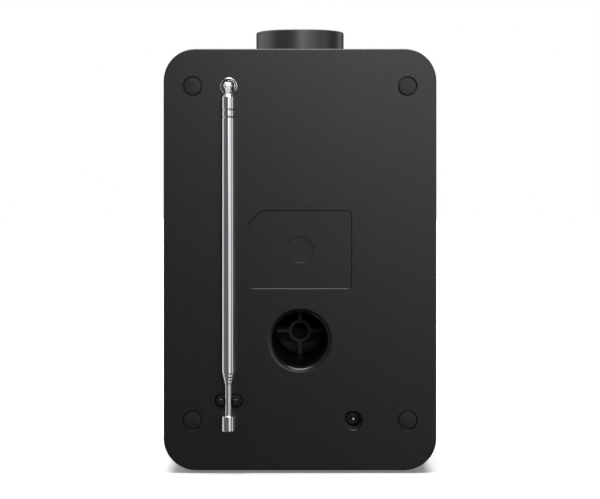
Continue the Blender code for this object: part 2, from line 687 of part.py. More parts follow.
def make_knob():
    push_axis = axis_point("encoder_push_axis", (0, 0, BUSHING_TOP_Z))
    spin_axis = axis_point("knob_spin_axis", (0, 0, KNOB_LOW_Z), push_axis)
    centre = (0, 0, 0)
    ceiling = KNOB_TOP_Z - KNOB_CEILING
    edge = arc((KNOB_RADIUS - EDGE_ROUND, KNOB_TOP_Z - EDGE_ROUND), EDGE_ROUND, 0, 90, 3)
    shell = [(0, ceiling), (KNOB_RADIUS - KNOB_WALL, ceiling), (KNOB_RADIUS - KNOB_WALL, KNOB_LOW_Z),
             (KNOB_RADIUS, KNOB_LOW_Z), *edge, (0, KNOB_TOP_Z)]
    add_part("knob_shell", lathe(shell, centre, "Z", KNOB_STEPS), KNOB_LOOK, (0, 0, KNOB_LOW_Z), spin_axis)
    bore = SHAFT_RADIUS + GAP
    core_low = BUSHING_TOP_Z + 1.0
    core_rim = KNOB_RADIUS - KNOB_WALL - GAP
    core_top = ceiling - GAP
    core = [(0, SHAFT_TOP_Z + GAP), (bore, SHAFT_TOP_Z + GAP), (bore, core_low), (6.2, core_low),
            (6.2, core_top - 3.0), (core_rim, core_top - 3.0), (core_rim, core_top), (0, core_top)]
    add_part("knob_core", lathe(core, centre, "Z", ROUND_STEPS), BLACK_LOOK, (0, 0, KNOB_LOW_Z), spin_axis)
    shaft = add_part("encoder_shaft", cylinder(SHAFT_RADIUS, SHAFT_LOW_Z, SHAFT_TOP_Z, centre, "Z", 24),
                     STEEL_LOOK, (0, 0, KNOB_LOW_Z), spin_axis)
    flat_x = SHAFT_RADIUS - 1.2
    cut(shaft, block((flat_x, flat_x + 4), (-5, 5), (SHAFT_TOP_Z - 5, SHAFT_TOP_Z + 2)))
    plunger = cylinder(SHAFT_RADIUS - 0.1, PLUNGER_LOW_Z, SHAFT_LOW_Z - GAP, centre, "Z", 24)
    add_part("encoder_plunger", plunger, STEEL_LOOK, (0, 0, PLUNGER_LOW_Z), push_axis)


def make_encoder():
    centre = (0, 0, 0)
    box_high = TOP_Z - WALL - GAP
    box_low = box_high - 7.0
    body = add_part("encoder_body", block((-7, 7), (-6.5, 6.5), (box_low, box_high)), STEEL_LOOK)
    fuse(body, cylinder(BUSHING_RADIUS, box_high - 1, BUSHING_TOP_Z, centre, "Z"))
    cut(body, cylinder(SHAFT_RADIUS + GAP, box_low + 1.0, BUSHING_TOP_Z + 1, centre, "Z"))
    nut = add_part("encoder_nut", cylinder(6.9, TOP_Z + GAP, TOP_Z + 1.9, centre, "Z", 6), STEEL_LOOK)
    cut(nut, cylinder(BUSHING_RADIUS + GAP, TOP_Z - 1, TOP_Z + 3, centre, "Z"))
    board = block((-14, 14), (-12, 12), (box_low - GAP - BOARD_THICKNESS, box_low - GAP))
    add_part("encoder_board", board, BOARD_LOOK)


# Controls

def button_places():
    middle = (len(BUTTON_NAMES) - 1) / 2
    return [((number - middle) * BUTTON_PITCH, BUTTON_Z) for number in range(len(BUTTON_NAMES))]


def capsule(width, height, centre):
    return rounded_outline(width, height, height / 2 - 0.01, centre, 3)


def make_fascia():
    width = CABINET_WIDTH - 2 * (FRONT_RIM + GAP)
    top = TOP_Z - FRONT_RIM - GAP
    corner = CORNER_RADIUS - FRONT_RIM - GAP
    outline = rounded_outline(width, FASCIA_HEIGHT, (1.0, corner, corner, 1.0), (0, top - FASCIA_HEIGHT / 2))
    rear = FASCIA_FRONT_Y + FASCIA_THICKNESS
    fascia = add_part("control_fascia", prism(outline, "Y", FASCIA_FRONT_Y, rear), BLACK_LOOK)
    legs = [cylinder(2.5, rear - 0.5, BAFFLE_FRONT_Y - GAP, (x, 0, z), "Y", 12)
            for x in (-56.0, 56.0) for z in (154.0, 196.0)]
    fuse(fascia, together(*legs))
    opening = rounded_outline(DISPLAY_WIDTH, DISPLAY_HEIGHT, 2.0, (0, DISPLAY_Z), 3)
    holes = [prism(opening, "Y", FRONT_Y - 2, rear + 2)]
    for spot in button_places():
        holes.append(prism(capsule(BUTTON_WIDTH + 0.6, BUTTON_HEIGHT + 0.6, spot), "Y", FRONT_Y - 2, rear + 2))
    cut(fascia, together(*holes))


def make_display():
    lens = rounded_outline(DISPLAY_WIDTH - 0.6, DISPLAY_HEIGHT - 0.6, 1.7, (0, DISPLAY_Z), 3)
    rear = FASCIA_FRONT_Y + FASCIA_THICKNESS
    add_part("display_window", prism(lens, "Y", FASCIA_FRONT_Y + 0.1, rear), WINDOW_LOOK)
    module = block((-DISPLAY_WIDTH / 2 - 2, DISPLAY_WIDTH / 2 + 2), (rear + GAP, BAFFLE_FRONT_Y - GAP),
                   (DISPLAY_Z - DISPLAY_HEIGHT / 2 - 3, DISPLAY_Z + DISPLAY_HEIGHT / 2 + 3))
    add_part("display_module", module, BLACK_LOOK)
    board_rear = CONTROL_BOARD_FRONT_Y + BOARD_THICKNESS
    board = block((-46, 46), (CONTROL_BOARD_FRONT_Y, board_rear), (BUTTON_Z - 6.5, BUTTON_Z + 34.0))
    add_part("control_board", board, BOARD_LOOK)


def make_buttons():
    rear = FASCIA_FRONT_Y + FASCIA_THICKNESS
    front = FRONT_Y + 0.1
    for name, spot in zip(BUTTON_NAMES, button_places()):
        rings = []
        for inset, level in ((0.5, front), (0.15, front + 0.15), (0, front + 0.5), (0, rear + GAP)):
            outline = capsule(BUTTON_WIDTH - 2 * inset, BUTTON_HEIGHT - 2 * inset, spot)
            rings.append(ring_at(outline, "Y", level))
        for level in (rear + GAP, rear + GAP + 0.8):
            rings.append(ring_at(capsule(BUTTON_WIDTH + 2.4, BUTTON_HEIGHT + 2.4, spot), "Y", level))
        for level in (rear + GAP + 0.8, BUTTON_STEM_REAR_Y):
            rings.append(ring_at(capsule(3.4, 3.2, spot), "Y", level))
        add_part(f"button_{name}", loft(rings), BLACK_LOOK, (spot[0], front, spot[1]))


# Grille

def grille_outline(inset):
    top = TOP_Z - FRONT_RIM - GAP - FASCIA_HEIGHT - 0.6
    low = STAND_OFF + FRONT_RIM + GAP
    width = CABINET_WIDTH - 2 * (FRONT_RIM + GAP) - 2 * inset
    corner = CORNER_RADIUS - FRONT_RIM - GAP - inset
    edge = max(2.2 - inset, 0.8)
    return rounded_outline(width, top - low - 2 * inset, (corner, edge, edge, corner), (0, (top + low) / 2))


def make_grille():
    thickness = 0.6
    front = FRONT_Y + 0.4
    rear = BAFFLE_FRONT_Y - 0.5
    rings = [
        ring_at(grille_outline(thickness), "Y", front + thickness),
        ring_at(grille_outline(thickness), "Y", rear),
        ring_at(grille_outline(0), "Y", rear),
        ring_at(grille_outline(0), "Y", front + 0.6),
        ring_at(grille_outline(0.2), "Y", front + 0.2),
        ring_at(grille_outline(0.6), "Y", front),
    ]
    add_part("grille_cloth", loft(rings), CLOTH_LOOK)
    plate = prism(grille_outline(thickness + GAP), "Y", front + thickness + GAP, BAFFLE_FRONT_Y - 0.8)
    frame = add_part("grille_frame", plate, BLACK_LOOK)
    cut(frame, cylinder(GRILLE_HOLE_RADIUS, FRONT_Y - 2, BAFFLE_REAR_Y, (0, 0, SPEAKER_Z), "Y", PORT_STEPS))


# Loudspeaker

def speaker_screw_places():
    reach = SPEAKER_SCREW_CIRCLE / math.sqrt(2)
    return [(x, 0, SPEAKER_Z + z) for x in (-reach, reach) for z in (-reach, reach)]


def make_speaker():
    axis = (0, 0, SPEAKER_Z)
    gasket_front = BAFFLE_REAR_Y + GAP
    gasket_rear = gasket_front + 0.7
    add_part("speaker_gasket", tube(37.5, 33.5, gasket_front, gasket_rear, axis, "Y"), SEAL_LOOK)
    flange_front = gasket_rear + GAP
    flange_rear = flange_front + 2.0
    seat = BASKET_SEAT_Y
    basket = [(SPEAKER_HOLE_RADIUS, flange_front), (FLANGE_RADIUS, flange_front), (FLANGE_RADIUS, flange_rear),
              (35.0, flange_rear), (24.5, seat), (8.0, seat), (8.0, seat - 1.3), (23.4, seat - 1.3)]
    frame = add_part("speaker_basket", lathe(basket, axis, "Y", closed=True), STEEL_LOOK)
    holes = [cylinder(SPEAKER_SCREW_HOLE_RADIUS, flange_front - 2, flange_rear + 2, spot, "Y", 12)
             for spot in speaker_screw_places()]
    cut(frame, together(*holes))
    magnet_front = seat + GAP
    magnet = [(0, magnet_front), (6.2, magnet_front), (6.2, magnet_front + 7), (8.4, magnet_front + 7),
              (8.4, magnet_front), (MAGNET_RADIUS, magnet_front), (MAGNET_RADIUS, MAGNET_REAR_Y),
              (0, MAGNET_REAR_Y)]
    add_part("speaker_magnet", lathe(magnet, axis, "Y"), FERRITE_LOOK)
    cone_axis = axis_point("speaker_cone_axis", (0, seat, SPEAKER_Z))
    cone = [(7.0, seat + 5.5), (7.4, seat + 5.5), (7.4, -32.6), (CONE_RADIUS, -44.2), (CONE_RADIUS, -44.8),
            (7.0, -33.1)]
    add_part("speaker_cone", lathe(cone, axis, "Y", closed=True), PAPER_LOOK, (0, seat, SPEAKER_Z), cone_axis)
    cap = [(0, -37.8), (3.0, -37.5), (6.0, -36.5), (8.6, -34.7), (8.2, -34.4), (5.8, -35.9), (3.0, -36.9),
           (0, -37.2)]
    add_part("speaker_dust_cap", lathe(cap, axis, "Y", 24), PAPER_LOOK, (0, seat, SPEAKER_Z), cone_axis)
    roll_middle = (CONE_RADIUS + 3.0, flange_front - 0.1)
    roll = arc(roll_middle, 2.7, 180, 360, 4) + arc(roll_middle, 2.2, 360, 180, 4)
    add_part("speaker_surround", lathe(roll, axis, "Y", closed=True), RUBBER_LOOK)
    for number, spot in enumerate(speaker_screw_places(), 1):
        screw = [(0, BAFFLE_REAR_Y - 2.6), (1.2, BAFFLE_REAR_Y - 2.4), (1.2, flange_rear + GAP),
                 (2.3, flange_rear + GAP), (2.0, flange_rear + 1.6), (0, flange_rear + 1.8)]
        add_part(f"speaker_screw_{number}", lathe(screw, spot, "Y", 12), STEEL_LOOK)


# Electronics

def make_electronics():
    y_range = (MAIN_BOARD_FRONT_Y, MAIN_BOARD_FRONT_Y + BOARD_THICKNESS)
    add_part("main_board", block((-50, 50), y_range, (92, 184)), BOARD_LOOK)
    shield_rear = MAIN_BOARD_FRONT_Y - GAP
    shield = block((-40, -8), (shield_rear - 5, shield_rear), (136, 162))
    add_part("tuner_shield", shield, STEEL_LOOK)


def main():
    clear_scene()
    make_front_housing()
    make_rear_cover()
    make_cabinet_seal()
    make_base_pad()
    make_cabinet_fasteners()
    make_port_tube()
    make_dc_inlet()
    make_antenna()
    make_antenna_clip()
    make_knob()
    make_encoder()
    make_fascia()
    make_display()
    make_buttons()
    make_grille()
    make_speaker()
    make_electronics()


main()
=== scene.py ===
"""The looks of the upright tabletop radio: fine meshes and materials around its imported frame.

Lengths are in metres. The front faces -Y, the rear face is at +Y and Z is up.
"""
import json
import math

import bmesh
import bpy
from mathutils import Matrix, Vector


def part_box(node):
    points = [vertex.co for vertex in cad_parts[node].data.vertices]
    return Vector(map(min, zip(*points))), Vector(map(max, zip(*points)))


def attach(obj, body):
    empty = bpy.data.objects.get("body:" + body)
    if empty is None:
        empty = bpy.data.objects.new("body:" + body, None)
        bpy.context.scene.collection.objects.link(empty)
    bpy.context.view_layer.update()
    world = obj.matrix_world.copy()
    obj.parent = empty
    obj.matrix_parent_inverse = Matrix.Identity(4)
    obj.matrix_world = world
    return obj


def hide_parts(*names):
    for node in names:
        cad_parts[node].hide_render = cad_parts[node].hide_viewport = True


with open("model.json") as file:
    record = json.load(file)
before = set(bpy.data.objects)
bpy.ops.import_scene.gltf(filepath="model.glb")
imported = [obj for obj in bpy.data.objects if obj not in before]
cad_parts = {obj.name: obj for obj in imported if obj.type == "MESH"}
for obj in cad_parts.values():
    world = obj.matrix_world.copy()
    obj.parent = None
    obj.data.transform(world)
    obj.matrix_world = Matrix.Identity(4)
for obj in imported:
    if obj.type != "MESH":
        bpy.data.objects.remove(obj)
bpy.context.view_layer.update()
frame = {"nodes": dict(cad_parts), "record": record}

MM = 0.001

AXIS_FRAMES = {
    "X": (Vector((0, 1, 0)), Vector((0, 0, 1)), Vector((1, 0, 0))),
    "Y": (Vector((0, 0, 1)), Vector((1, 0, 0)), Vector((0, 1, 0))),
    "Z": (Vector((1, 0, 0)), Vector((0, 1, 0)), Vector((0, 0, 1))),
}
SHARP_ANGLE = math.radians(38)


# Places, all read from the frame

def middle(node):
    low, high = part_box(node)
    return (low + high) / 2


def half_size(node):
    low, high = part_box(node)
    return (high - low) / 2


COVER_LOW, COVER_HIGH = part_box("rear_cover")
HOUSING_LOW, HOUSING_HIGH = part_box("front_housing")
REAR_Y = COVER_HIGH.y
FRONT_Y = HOUSING_LOW.y
CABINET = COVER_HIGH - COVER_LOW
CABINET_MIDDLE = (COVER_LOW + COVER_HIGH) / 2
CORNER_RADIUS = 16 * MM
WALL = 2.6 * MM
PARTING_GAP = 1 * MM
PLUGS = [f"screw_plug_{number}" for number in range(1, 5)]
SECTIONS = [f"antenna_tube_{number}" for number in range(1, 5)]
BUTTONS = sorted(name for name in frame["nodes"] if name.startswith("button_"))


# Outlines and solids

def arc(centre, radius, start, end, steps):
    """Points of an arc, with its angles in degrees."""
    points = []
    for step in range(steps + 1):
        angle = math.radians(start + (end - start) * step / steps)
        points.append((centre[0] + radius * math.cos(angle), centre[1] + radius * math.sin(angle)))
    return points


def rounded_outline(width, height, radii, centre=(0, 0), steps=12):
    """A rectangle with round corners, anticlockwise from the lower right corner."""
    points = []
    for corner, (side_a, side_b) in enumerate(((1, -1), (1, 1), (-1, 1), (-1, -1))):
        radius = radii[corner] if isinstance(radii, tuple) else radii
        turn = (centre[0] + side_a * (width / 2 - radius), centre[1] + side_b * (height / 2 - radius))
        points += arc(turn, radius, 90 * (corner - 1), 90 * corner, steps)
    return points


def box_outline(node, inset, radii, steps=12):
    """The node's box seen along Y, shrunk by inset, with round corners."""
    size = half_size(node) * 2
    centre = middle(node)
    return rounded_outline(size.x - 2 * inset, size.z - 2 * inset, radii, (centre.x, centre.z), steps)


def oval(node, inset, steps=12):
    """The node's box seen along Y, shrunk by inset, with half-round ends."""
    return box_outline(node, inset, half_size(node).z - inset - 0.01 * MM, steps)


def ring_at(outline, axis, level):
    if axis == "Y":
        return [(a, level, b) for a, b in outline]
    if axis == "Z":
        return [(a, b, level) for a, b in outline]
    return [(level, a, b) for a, b in outline]


def loft(rings, open_start=False):
    """Skin rings of equal point counts and cap the ends, or only the last where the first stays open."""
    bm = bmesh.new()
    loops = [[bm.verts.new(point) for point in ring] for ring in rings]
    if not open_start:
        bm.faces.new(loops[0])
    bm.faces.new(loops[-1])
    count = len(rings[0])
    for near, far in zip(loops, loops[1:]):
        for k in range(count):
            following = (k + 1) % count
            bm.faces.new((near[k], near[following], far[following], far[k]))
    bmesh.ops.recalc_face_normals(bm, faces=bm.faces)
    return bm


def prism(outline, axis, low, high):
    return loft([ring_at(outline, axis, low), ring_at(outline, axis, high)])


def block(low, high):
    corners = [(low[0], low[1]), (high[0], low[1]), (high[0], high[1]), (low[0], high[1])]
    return prism(corners, "Z", low[2], high[2])


def lathe(profile, centre, axis, steps=64, closed=False):
    """Turn (radius, height) points about an axis through centre; heights are absolute."""
    across, beside, along = AXIS_FRAMES[axis]
    base = Vector(centre)
    base -= along * base.dot(along)
    bm = bmesh.new()
    rows = []
    for radius, height in profile:
        point = base + along * height
        if radius == 0:
            rows.append([bm.verts.new(point)])
            continue
        row = []
        for k in range(steps):
            angle = 2 * math.pi * k / steps
            outward = across * math.cos(angle) + beside * math.sin(angle)
            row.append(bm.verts.new(point + outward * radius))
        rows.append(row)
    pairs = list(zip(rows, rows[1:]))
    if closed:
        pairs.append((rows[-1], rows[0]))
    for near, far in pairs:
        for k in range(steps):
            following = (k + 1) % steps
            corners = [near[k % len(near)], near[following % len(near)],
                       far[following % len(far)], far[k % len(far)]]
            bm.faces.new(list(dict.fromkeys(corners)))
    bmesh.ops.recalc_face_normals(bm, faces=bm.faces)
    return bm


def cylinder(radius, low, high, centre, axis, steps=64):
    return lathe([(0, low), (radius, low), (radius, high), (0, high)], centre, axis, steps)


def hole(radius, floor, face, lip, centre, axis="Y", steps=64, bottom=0.0):
    """A cutter for a blind hole whose rim is rounded by lip, and its floor's edge by bottom."""
    past = face + 1 * MM
    profile = [(0, floor)]
    if bottom:
        profile += arc((radius - bottom, floor + bottom), bottom, -90, 0, 3)
    else:
        profile.append((radius, floor))
    profile += arc((radius + lip, face - lip), lip, 180, 90, 4)
    profile += [(radius + lip, past), (0, past)]
    return lathe(profile, centre, axis, steps)


def together(*meshes):
    """Several solids that don't touch, in one mesh for one cut or union."""
    joined = bmesh.new()
    for mesh in meshes:
        twins = {vertex: joined.verts.new(vertex.co) for vertex in mesh.verts}
        for face in mesh.faces:
            joined.faces.new([twins[vertex] for vertex in face.verts])
        mesh.free()
    return joined


# Pieces

def new_object(name, bm):
    mesh = bpy.data.meshes.new(name)
    bm.to_mesh(mesh)
    bm.free()
    thing = bpy.data.objects.new(name, mesh)
    bpy.context.scene.collection.objects.link(thing)
    return thing


def combine(piece, bm, operation):
    """Cut or join another solid, and keep the result as the piece's own mesh."""
    helper = new_object("helper", bm)
    step = piece.modifiers.new("Boolean", "BOOLEAN")
    step.operation = operation
    step.object = helper
    settle(piece)
    bpy.data.objects.remove(helper)


def settle(piece):
    """Replace the piece's mesh by what its modifiers make of it."""
    bpy.context.view_layer.update()
    depsgraph = bpy.context.evaluated_depsgraph_get()
    result = bpy.data.meshes.new_from_object(piece.evaluated_get(depsgraph))
    piece.modifiers.clear()
    old = piece.data
    piece.data = result
    bpy.data.meshes.remove(old)


def cut(piece, bm):
    combine(piece, bm, "DIFFERENCE")


def fuse(piece, bm):
    combine(piece, bm, "UNION")


def soften(piece, width, angle=50, segments=2):
    """Round the piece's sharp edges by a small bevel."""
    bevel = piece.modifiers.new("Bevel", "BEVEL")
    bevel.width = width
    bevel.segments = segments
    bevel.limit_method = "ANGLE"
    bevel.angle_limit = math.radians(angle)
    settle(piece)


def shade(piece):
    """Smooth the round stretches, with every face weighted by its area so that flat ones stay flat."""
    mesh = piece.data
    mesh.shade_smooth()
    cosine = math.cos(SHARP_ANGLE)
    around = [[] for _ in mesh.vertices]
    for face in mesh.polygons:
        weighted = (face.normal.copy(), face.normal * face.area / MM ** 2)
        for vertex in face.vertices:
            around[vertex].append(weighted)
    normals = []
    for face in mesh.polygons:
        for vertex in face.vertices:
            total = Vector()
            for normal, weighted in around[vertex]:
                if normal.dot(face.normal) > cosine:
                    total += weighted
            normals.append(total.normalized())
    mesh.normals_split_custom_set(normals)


def finish_piece(piece, node):
    """Shade the piece, and let it stand for its CAD node on that node's body."""
    shade(piece)
    piece.data.materials.clear()
    piece.data.materials.append(material_of(node))
    body = next(name for name, nodes in frame["record"]["behaviour"]["bodies"].items() if node in nodes)
    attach(piece, body)
    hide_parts(node)


SLOT_OF = {part["node"]: part["material_slot"] for part in frame["record"]["subparts"]}


# Material building blocks

class Look:
    """A Principled material whose texture nodes are added step by step."""

    def __init__(self, name, color, roughness, metallic=0.0):
        self.material = bpy.data.materials.new(name)
        self.material.use_nodes = True
        self.tree = self.material.node_tree
        self.shader = self.tree.nodes["Principled BSDF"]
        self.set("Base Color", (*color, 1.0))
        self.set("Roughness", roughness)
        self.set("Metallic", metallic)
        self.color = color
        self.coordinates = self.node("ShaderNodeTexCoord").outputs["Object"]

    def set(self, socket, value):
        self.shader.inputs[socket].default_value = value

    def node(self, kind, **settings):
        made = self.tree.nodes.new(kind)
        for name, value in settings.items():
            setattr(made, name, value)
        return made

    def link(self, output, into):
        self.tree.links.new(output, into)

    def stretched(self, scale):
        """Object coordinates, scaled along each axis."""
        mapping = self.node("ShaderNodeMapping")
        mapping.inputs["Scale"].default_value = scale
        self.link(self.coordinates, mapping.inputs["Vector"])
        return mapping.outputs["Vector"]

    def noise(self, scale, detail=2.0, roughness=0.5, coordinates=None):
        made = self.node("ShaderNodeTexNoise")
        made.inputs["Scale"].default_value = scale
        made.inputs["Detail"].default_value = detail
        made.inputs["Roughness"].default_value = roughness
        self.link(coordinates or self.coordinates, made.inputs["Vector"])
        return made.outputs["Fac"]

    def cells(self, scale, coordinates=None):
        made = self.node("ShaderNodeTexVoronoi")
        made.inputs["Scale"].default_value = scale
        self.link(coordinates or self.coordinates, made.inputs["Vector"])
        return made.outputs["Distance"]

    def ranged(self, value, low, high, from_low=0.3, from_high=0.7):
        made = self.node("ShaderNodeMapRange")
        made.inputs["From Min"].default_value = from_low
        made.inputs["From Max"].default_value = from_high
        made.inputs["To Min"].default_value = low
        made.inputs["To Max"].default_value = high
        self.link(value, made.inputs["Value"])
        return made.outputs["Result"]

    def arithmetic(self, operation, first, second):
        made = self.node("ShaderNodeMath", operation=operation)
        for socket, value in zip(made.inputs, (first, second)):
            if isinstance(value, (int, float)):
                socket.default_value = value
            else:
                self.link(value, socket)
        return made.outputs["Value"]

    def tint(self, value, dark, light):
        """Base colour between two colours, driven by a value from 0 to 1."""
        ramp = self.node("ShaderNodeValToRGB")
        ramp.color_ramp.elements[0].color = (*dark, 1.0)
        ramp.color_ramp.elements[1].color = (*light, 1.0)
        self.link(value, ramp.inputs["Fac"])
        self.link(ramp.outputs["Color"], self.shader.inputs["Base Color"])

    def vary_color(self, value, share):
        """Base colour from a share below the main colour to a share above it."""
        dark = tuple(c * (1 - share) for c in self.color)
        light = tuple(c * (1 + share) for c in self.color)
        self.tint(value, dark, light)

    def vary_roughness(self, value, low, high):
        self.link(self.ranged(value, low, high), self.shader.inputs["Roughness"])

    def bump(self, height, distance, strength=1.0, over=None):
        made = self.node("ShaderNodeBump")
        made.inputs["Strength"].default_value = strength
        made.inputs["Distance"].default_value = distance
        self.link(height, made.inputs["Height"])
        if over is not None:
            self.link(over, made.inputs["Normal"])
        self.link(made.outputs["Normal"], self.shader.inputs["Normal"])
        return made.outputs["Normal"]


def moulded_plastic(name, color, roughness, grain=1500.0, depth=0.02 * MM, specular=0.5):
    """Plastic from an etched mould: fine grain, slow drifts in tone and gloss."""
    look = Look(name, color, roughness)
    look.set("Specular IOR Level", specular)
    look.vary_color(look.noise(18.0, 3.0), 0.04)
    look.vary_roughness(look.noise(260.0, 4.0), roughness - 0.012, roughness + 0.012)
    coarse = look.noise(grain, 2.0, 0.6)
    fine = look.cells(grain * 1.7)
    look.bump(look.arithmetic("ADD", coarse, look.arithmetic("MULTIPLY", fine, 0.5)), depth, 0.35)
    return look.material


def soft_rubber(name, color, roughness=0.7):
    look = Look(name, color, roughness)
    look.vary_color(look.noise(90.0, 4.0), 0.08)
    look.vary_roughness(look.noise(300.0, 3.0), roughness - 0.03, roughness + 0.03)
    look.bump(look.noise(2600.0, 3.0, 0.7), 0.02 * MM, 0.5)
    return look.material


def polished_metal(name, color, roughness, draw_scale=(900.0, 900.0, 12.0)):
    """Polished tube: a mirror with faint drawing lines along its length."""
    look = Look(name, color, roughness, 1.0)
    lines = look.noise(1.0, 2.0, 0.6, look.stretched(draw_scale))
    look.vary_roughness(lines, roughness * 0.75, roughness * 1.3)
    look.vary_color(look.noise(120.0, 2.0), 0.03)
    look.bump(lines, 0.004 * MM, 0.10)
    return look.material


def plated_steel(name, color, roughness):
    look = Look(name, color, roughness, 1.0)
    look.vary_color(look.noise(220.0, 4.0), 0.14)
    look.vary_roughness(look.noise(400.0, 4.0), roughness - 0.08, roughness + 0.10)
    look.bump(look.noise(1800.0, 3.0, 0.6), 0.01 * MM, 0.3)
    return look.material


def turned_metal(name, color, roughness):
    """Dark lacquered metal: lathe lines run round the knob, and concentric ones over its top."""
    look = Look(name, color, roughness, 0.75)
    split = look.node("ShaderNodeSeparateXYZ")
    look.link(look.coordinates, split.inputs["Vector"])
    x, y, z = split.outputs
    squares = look.arithmetic("ADD", look.arithmetic("MULTIPLY", x, x),
                              look.arithmetic("MULTIPLY", y, y))
    radius = look.arithmetic("SQRT", squares, 0.0)
    groove = look.node("ShaderNodeCombineXYZ")
    look.link(look.arithmetic("MULTIPLY", radius, 5200.0), groove.inputs["X"])
    look.link(look.arithmetic("MULTIPLY", z, 5200.0), groove.inputs["Y"])
    lines = look.noise(1.0, 3.0, 0.7, groove.outputs["Vector"])
    look.vary_color(look.noise(35.0, 3.0), 0.05)
    look.vary_roughness(lines, roughness - 0.04, roughness + 0.05)
    look.bump(lines, 0.006 * MM, 0.12)
    return look.material


def woven_cloth(name, color, pitch=0.55 * MM):
    """Acoustic cloth: a plain weave of round threads with a little fluff."""
    look = Look(name, color, 0.85)
    look.set("Specular IOR Level", 0.25)
    look.set("Sheen Weight", 0.35)
    look.set("Sheen Roughness", 0.5)
    split = look.node("ShaderNodeSeparateXYZ")
    look.link(look.coordinates, split.inputs["Vector"])
    x, _, z = split.outputs
    turn = math.pi / pitch
    warp = look.arithmetic("SINE", look.arithmetic("MULTIPLY", x, turn), 0.0)
    weft = look.arithmetic("SINE", look.arithmetic("MULTIPLY", z, turn), 0.0)
    # the product of the two waves says which thread is on top, and its height is how far it bulges
    over = look.arithmetic("MULTIPLY", warp, weft)
    bulge = look.arithmetic("ABSOLUTE", over, 0.0)
    fluff = look.noise(5200.0, 3.0, 0.7)
    height = look.arithmetic("ADD", bulge, look.arithmetic("MULTIPLY", fluff, 0.35))
    tone = look.arithmetic("ADD", look.ranged(over, 0.25, 0.75, -1.0, 1.0),
                           look.arithmetic("MULTIPLY", look.noise(700.0, 2.0), 0.3))
    look.tint(look.ranged(tone, 0.0, 1.0, 0.2, 1.1), tuple(c * 0.35 for c in color),
              tuple(c * 1.9 for c in color))
    look.bump(height, 0.16 * MM, 0.8)
    return look.material


def glossy_window(name, color):
    """Smoked acrylic: near-black, polished, with the faintest waviness."""
    look = Look(name, color, 0.05)
    look.set("Coat Weight", 0.6)
    look.set("Coat Roughness", 0.03)
    look.vary_color(look.noise(25.0, 2.0), 0.15)
    look.vary_roughness(look.noise(50.0, 3.0), 0.035, 0.07)
    look.bump(look.noise(45.0, 2.0), 0.02 * MM, 0.05)
    return look.material


def circuit_board(name, color):
    """Solder resist over copper: tracks show as slightly raised, lighter bands."""
    look = Look(name, color, 0.35)
    bricks = look.node("ShaderNodeTexBrick")
    bricks.inputs["Scale"].default_value = 260.0
    bricks.inputs["Mortar Size"].default_value = 0.10
    look.link(look.coordinates, bricks.inputs["Vector"])
    tracks = bricks.outputs["Fac"]
    light = tuple(min(1.0, c * 2.4) for c in color)
    look.tint(look.arithmetic("ADD", look.arithmetic("MULTIPLY", tracks, 0.7),
                              look.arithmetic("MULTIPLY", look.noise(300.0, 2.0), 0.3)), color, light)
    look.vary_roughness(look.noise(150.0, 3.0), 0.28, 0.45)
    look.bump(tracks, 0.05 * MM, 0.4)
    return look.material


def pressed_fibre(name, color):
    look = Look(name, color, 0.85)
    fibres = look.noise(1300.0, 5.0, 0.75)
    look.vary_color(fibres, 0.4)
    look.vary_roughness(look.noise(500.0, 3.0), 0.75, 0.95)
    look.bump(fibres, 0.10 * MM, 0.6)
    return look.material


def open_foam(name, color):
    look = Look(name, color, 0.9)
    pore_pits_and_shade = look.cells(1400.0)
    # The pores' centres are sunk by the bump and also darkened in colour; that darkening is painted
    # shade in the pits.
    look.vary_color(pore_pits_and_shade, 0.5)
    look.vary_roughness(look.noise(400.0, 2.0), 0.82, 0.98)
    look.bump(pore_pits_and_shade, 0.15 * MM, 0.7)
    return look.material


CABINET_COLOR = (0.0090, 0.0090, 0.0094)
MATERIALS = {
    "cabinet_plastic": moulded_plastic("cabinet_plastic", CABINET_COLOR, 0.265, specular=0.58),
    "rubber": soft_rubber("rubber", CABINET_COLOR, 0.34),
    "seal_foam": open_foam("seal_foam", (0.008, 0.008, 0.008)),
    "screw_steel": plated_steel("screw_steel", (0.55, 0.55, 0.56), 0.28),
    "black_plastic": moulded_plastic("black_plastic", (0.006, 0.006, 0.0063), 0.36, 1900.0),
    "fascia_plastic": moulded_plastic("fascia_plastic", (0.014, 0.014, 0.015), 0.33, 2400.0, 0.008 * MM),
    "button_plastic": moulded_plastic("button_plastic", (0.040, 0.040, 0.042), 0.38, 2200.0, 0.01 * MM),
    "knob_metal": turned_metal("knob_metal", (0.125, 0.125, 0.130), 0.37),
    "antenna_chrome": polished_metal("antenna_chrome", (0.90, 0.90, 0.91), 0.07),
    "contact_metal": polished_metal("contact_metal", (0.80, 0.78, 0.74), 0.12),
    "stamped_steel": plated_steel("stamped_steel", (0.45, 0.45, 0.46), 0.35),
    "basket_enamel": moulded_plastic("basket_enamel", (0.012, 0.012, 0.0125), 0.50, 900.0),
    "magnet_ferrite": plated_steel("magnet_ferrite", (0.03, 0.03, 0.031), 0.60),
    "cone_paper": pressed_fibre("cone_paper", (0.045, 0.045, 0.045)),
    "surround_rubber": soft_rubber("surround_rubber", (0.016, 0.016, 0.016), 0.55),
    "grille_fabric": woven_cloth("grille_fabric", (0.030, 0.030, 0.033)),
    "window_gloss": glossy_window("window_gloss", (0.004, 0.004, 0.005)),
    "circuit_board": circuit_board("circuit_board", (0.012, 0.070, 0.026)),
}


def material_of(node):
    return MATERIALS[SLOT_OF[node]]


def dress_frame_nodes():
    """Every CAD node that stays gets its slot's material and smooth round faces."""
    for name, node in frame["nodes"].items():
        node.data.materials.clear()
        node.data.materials.append(material_of(name))
        shade(node)


# Cabinet

def cabinet_outline(inset, steps=20):
    return rounded_outline(CABINET.x - 2 * inset, CABINET.z - 2 * inset, CORNER_RADIUS - inset,
                           (0, CABINET_MIDDLE.z), steps)


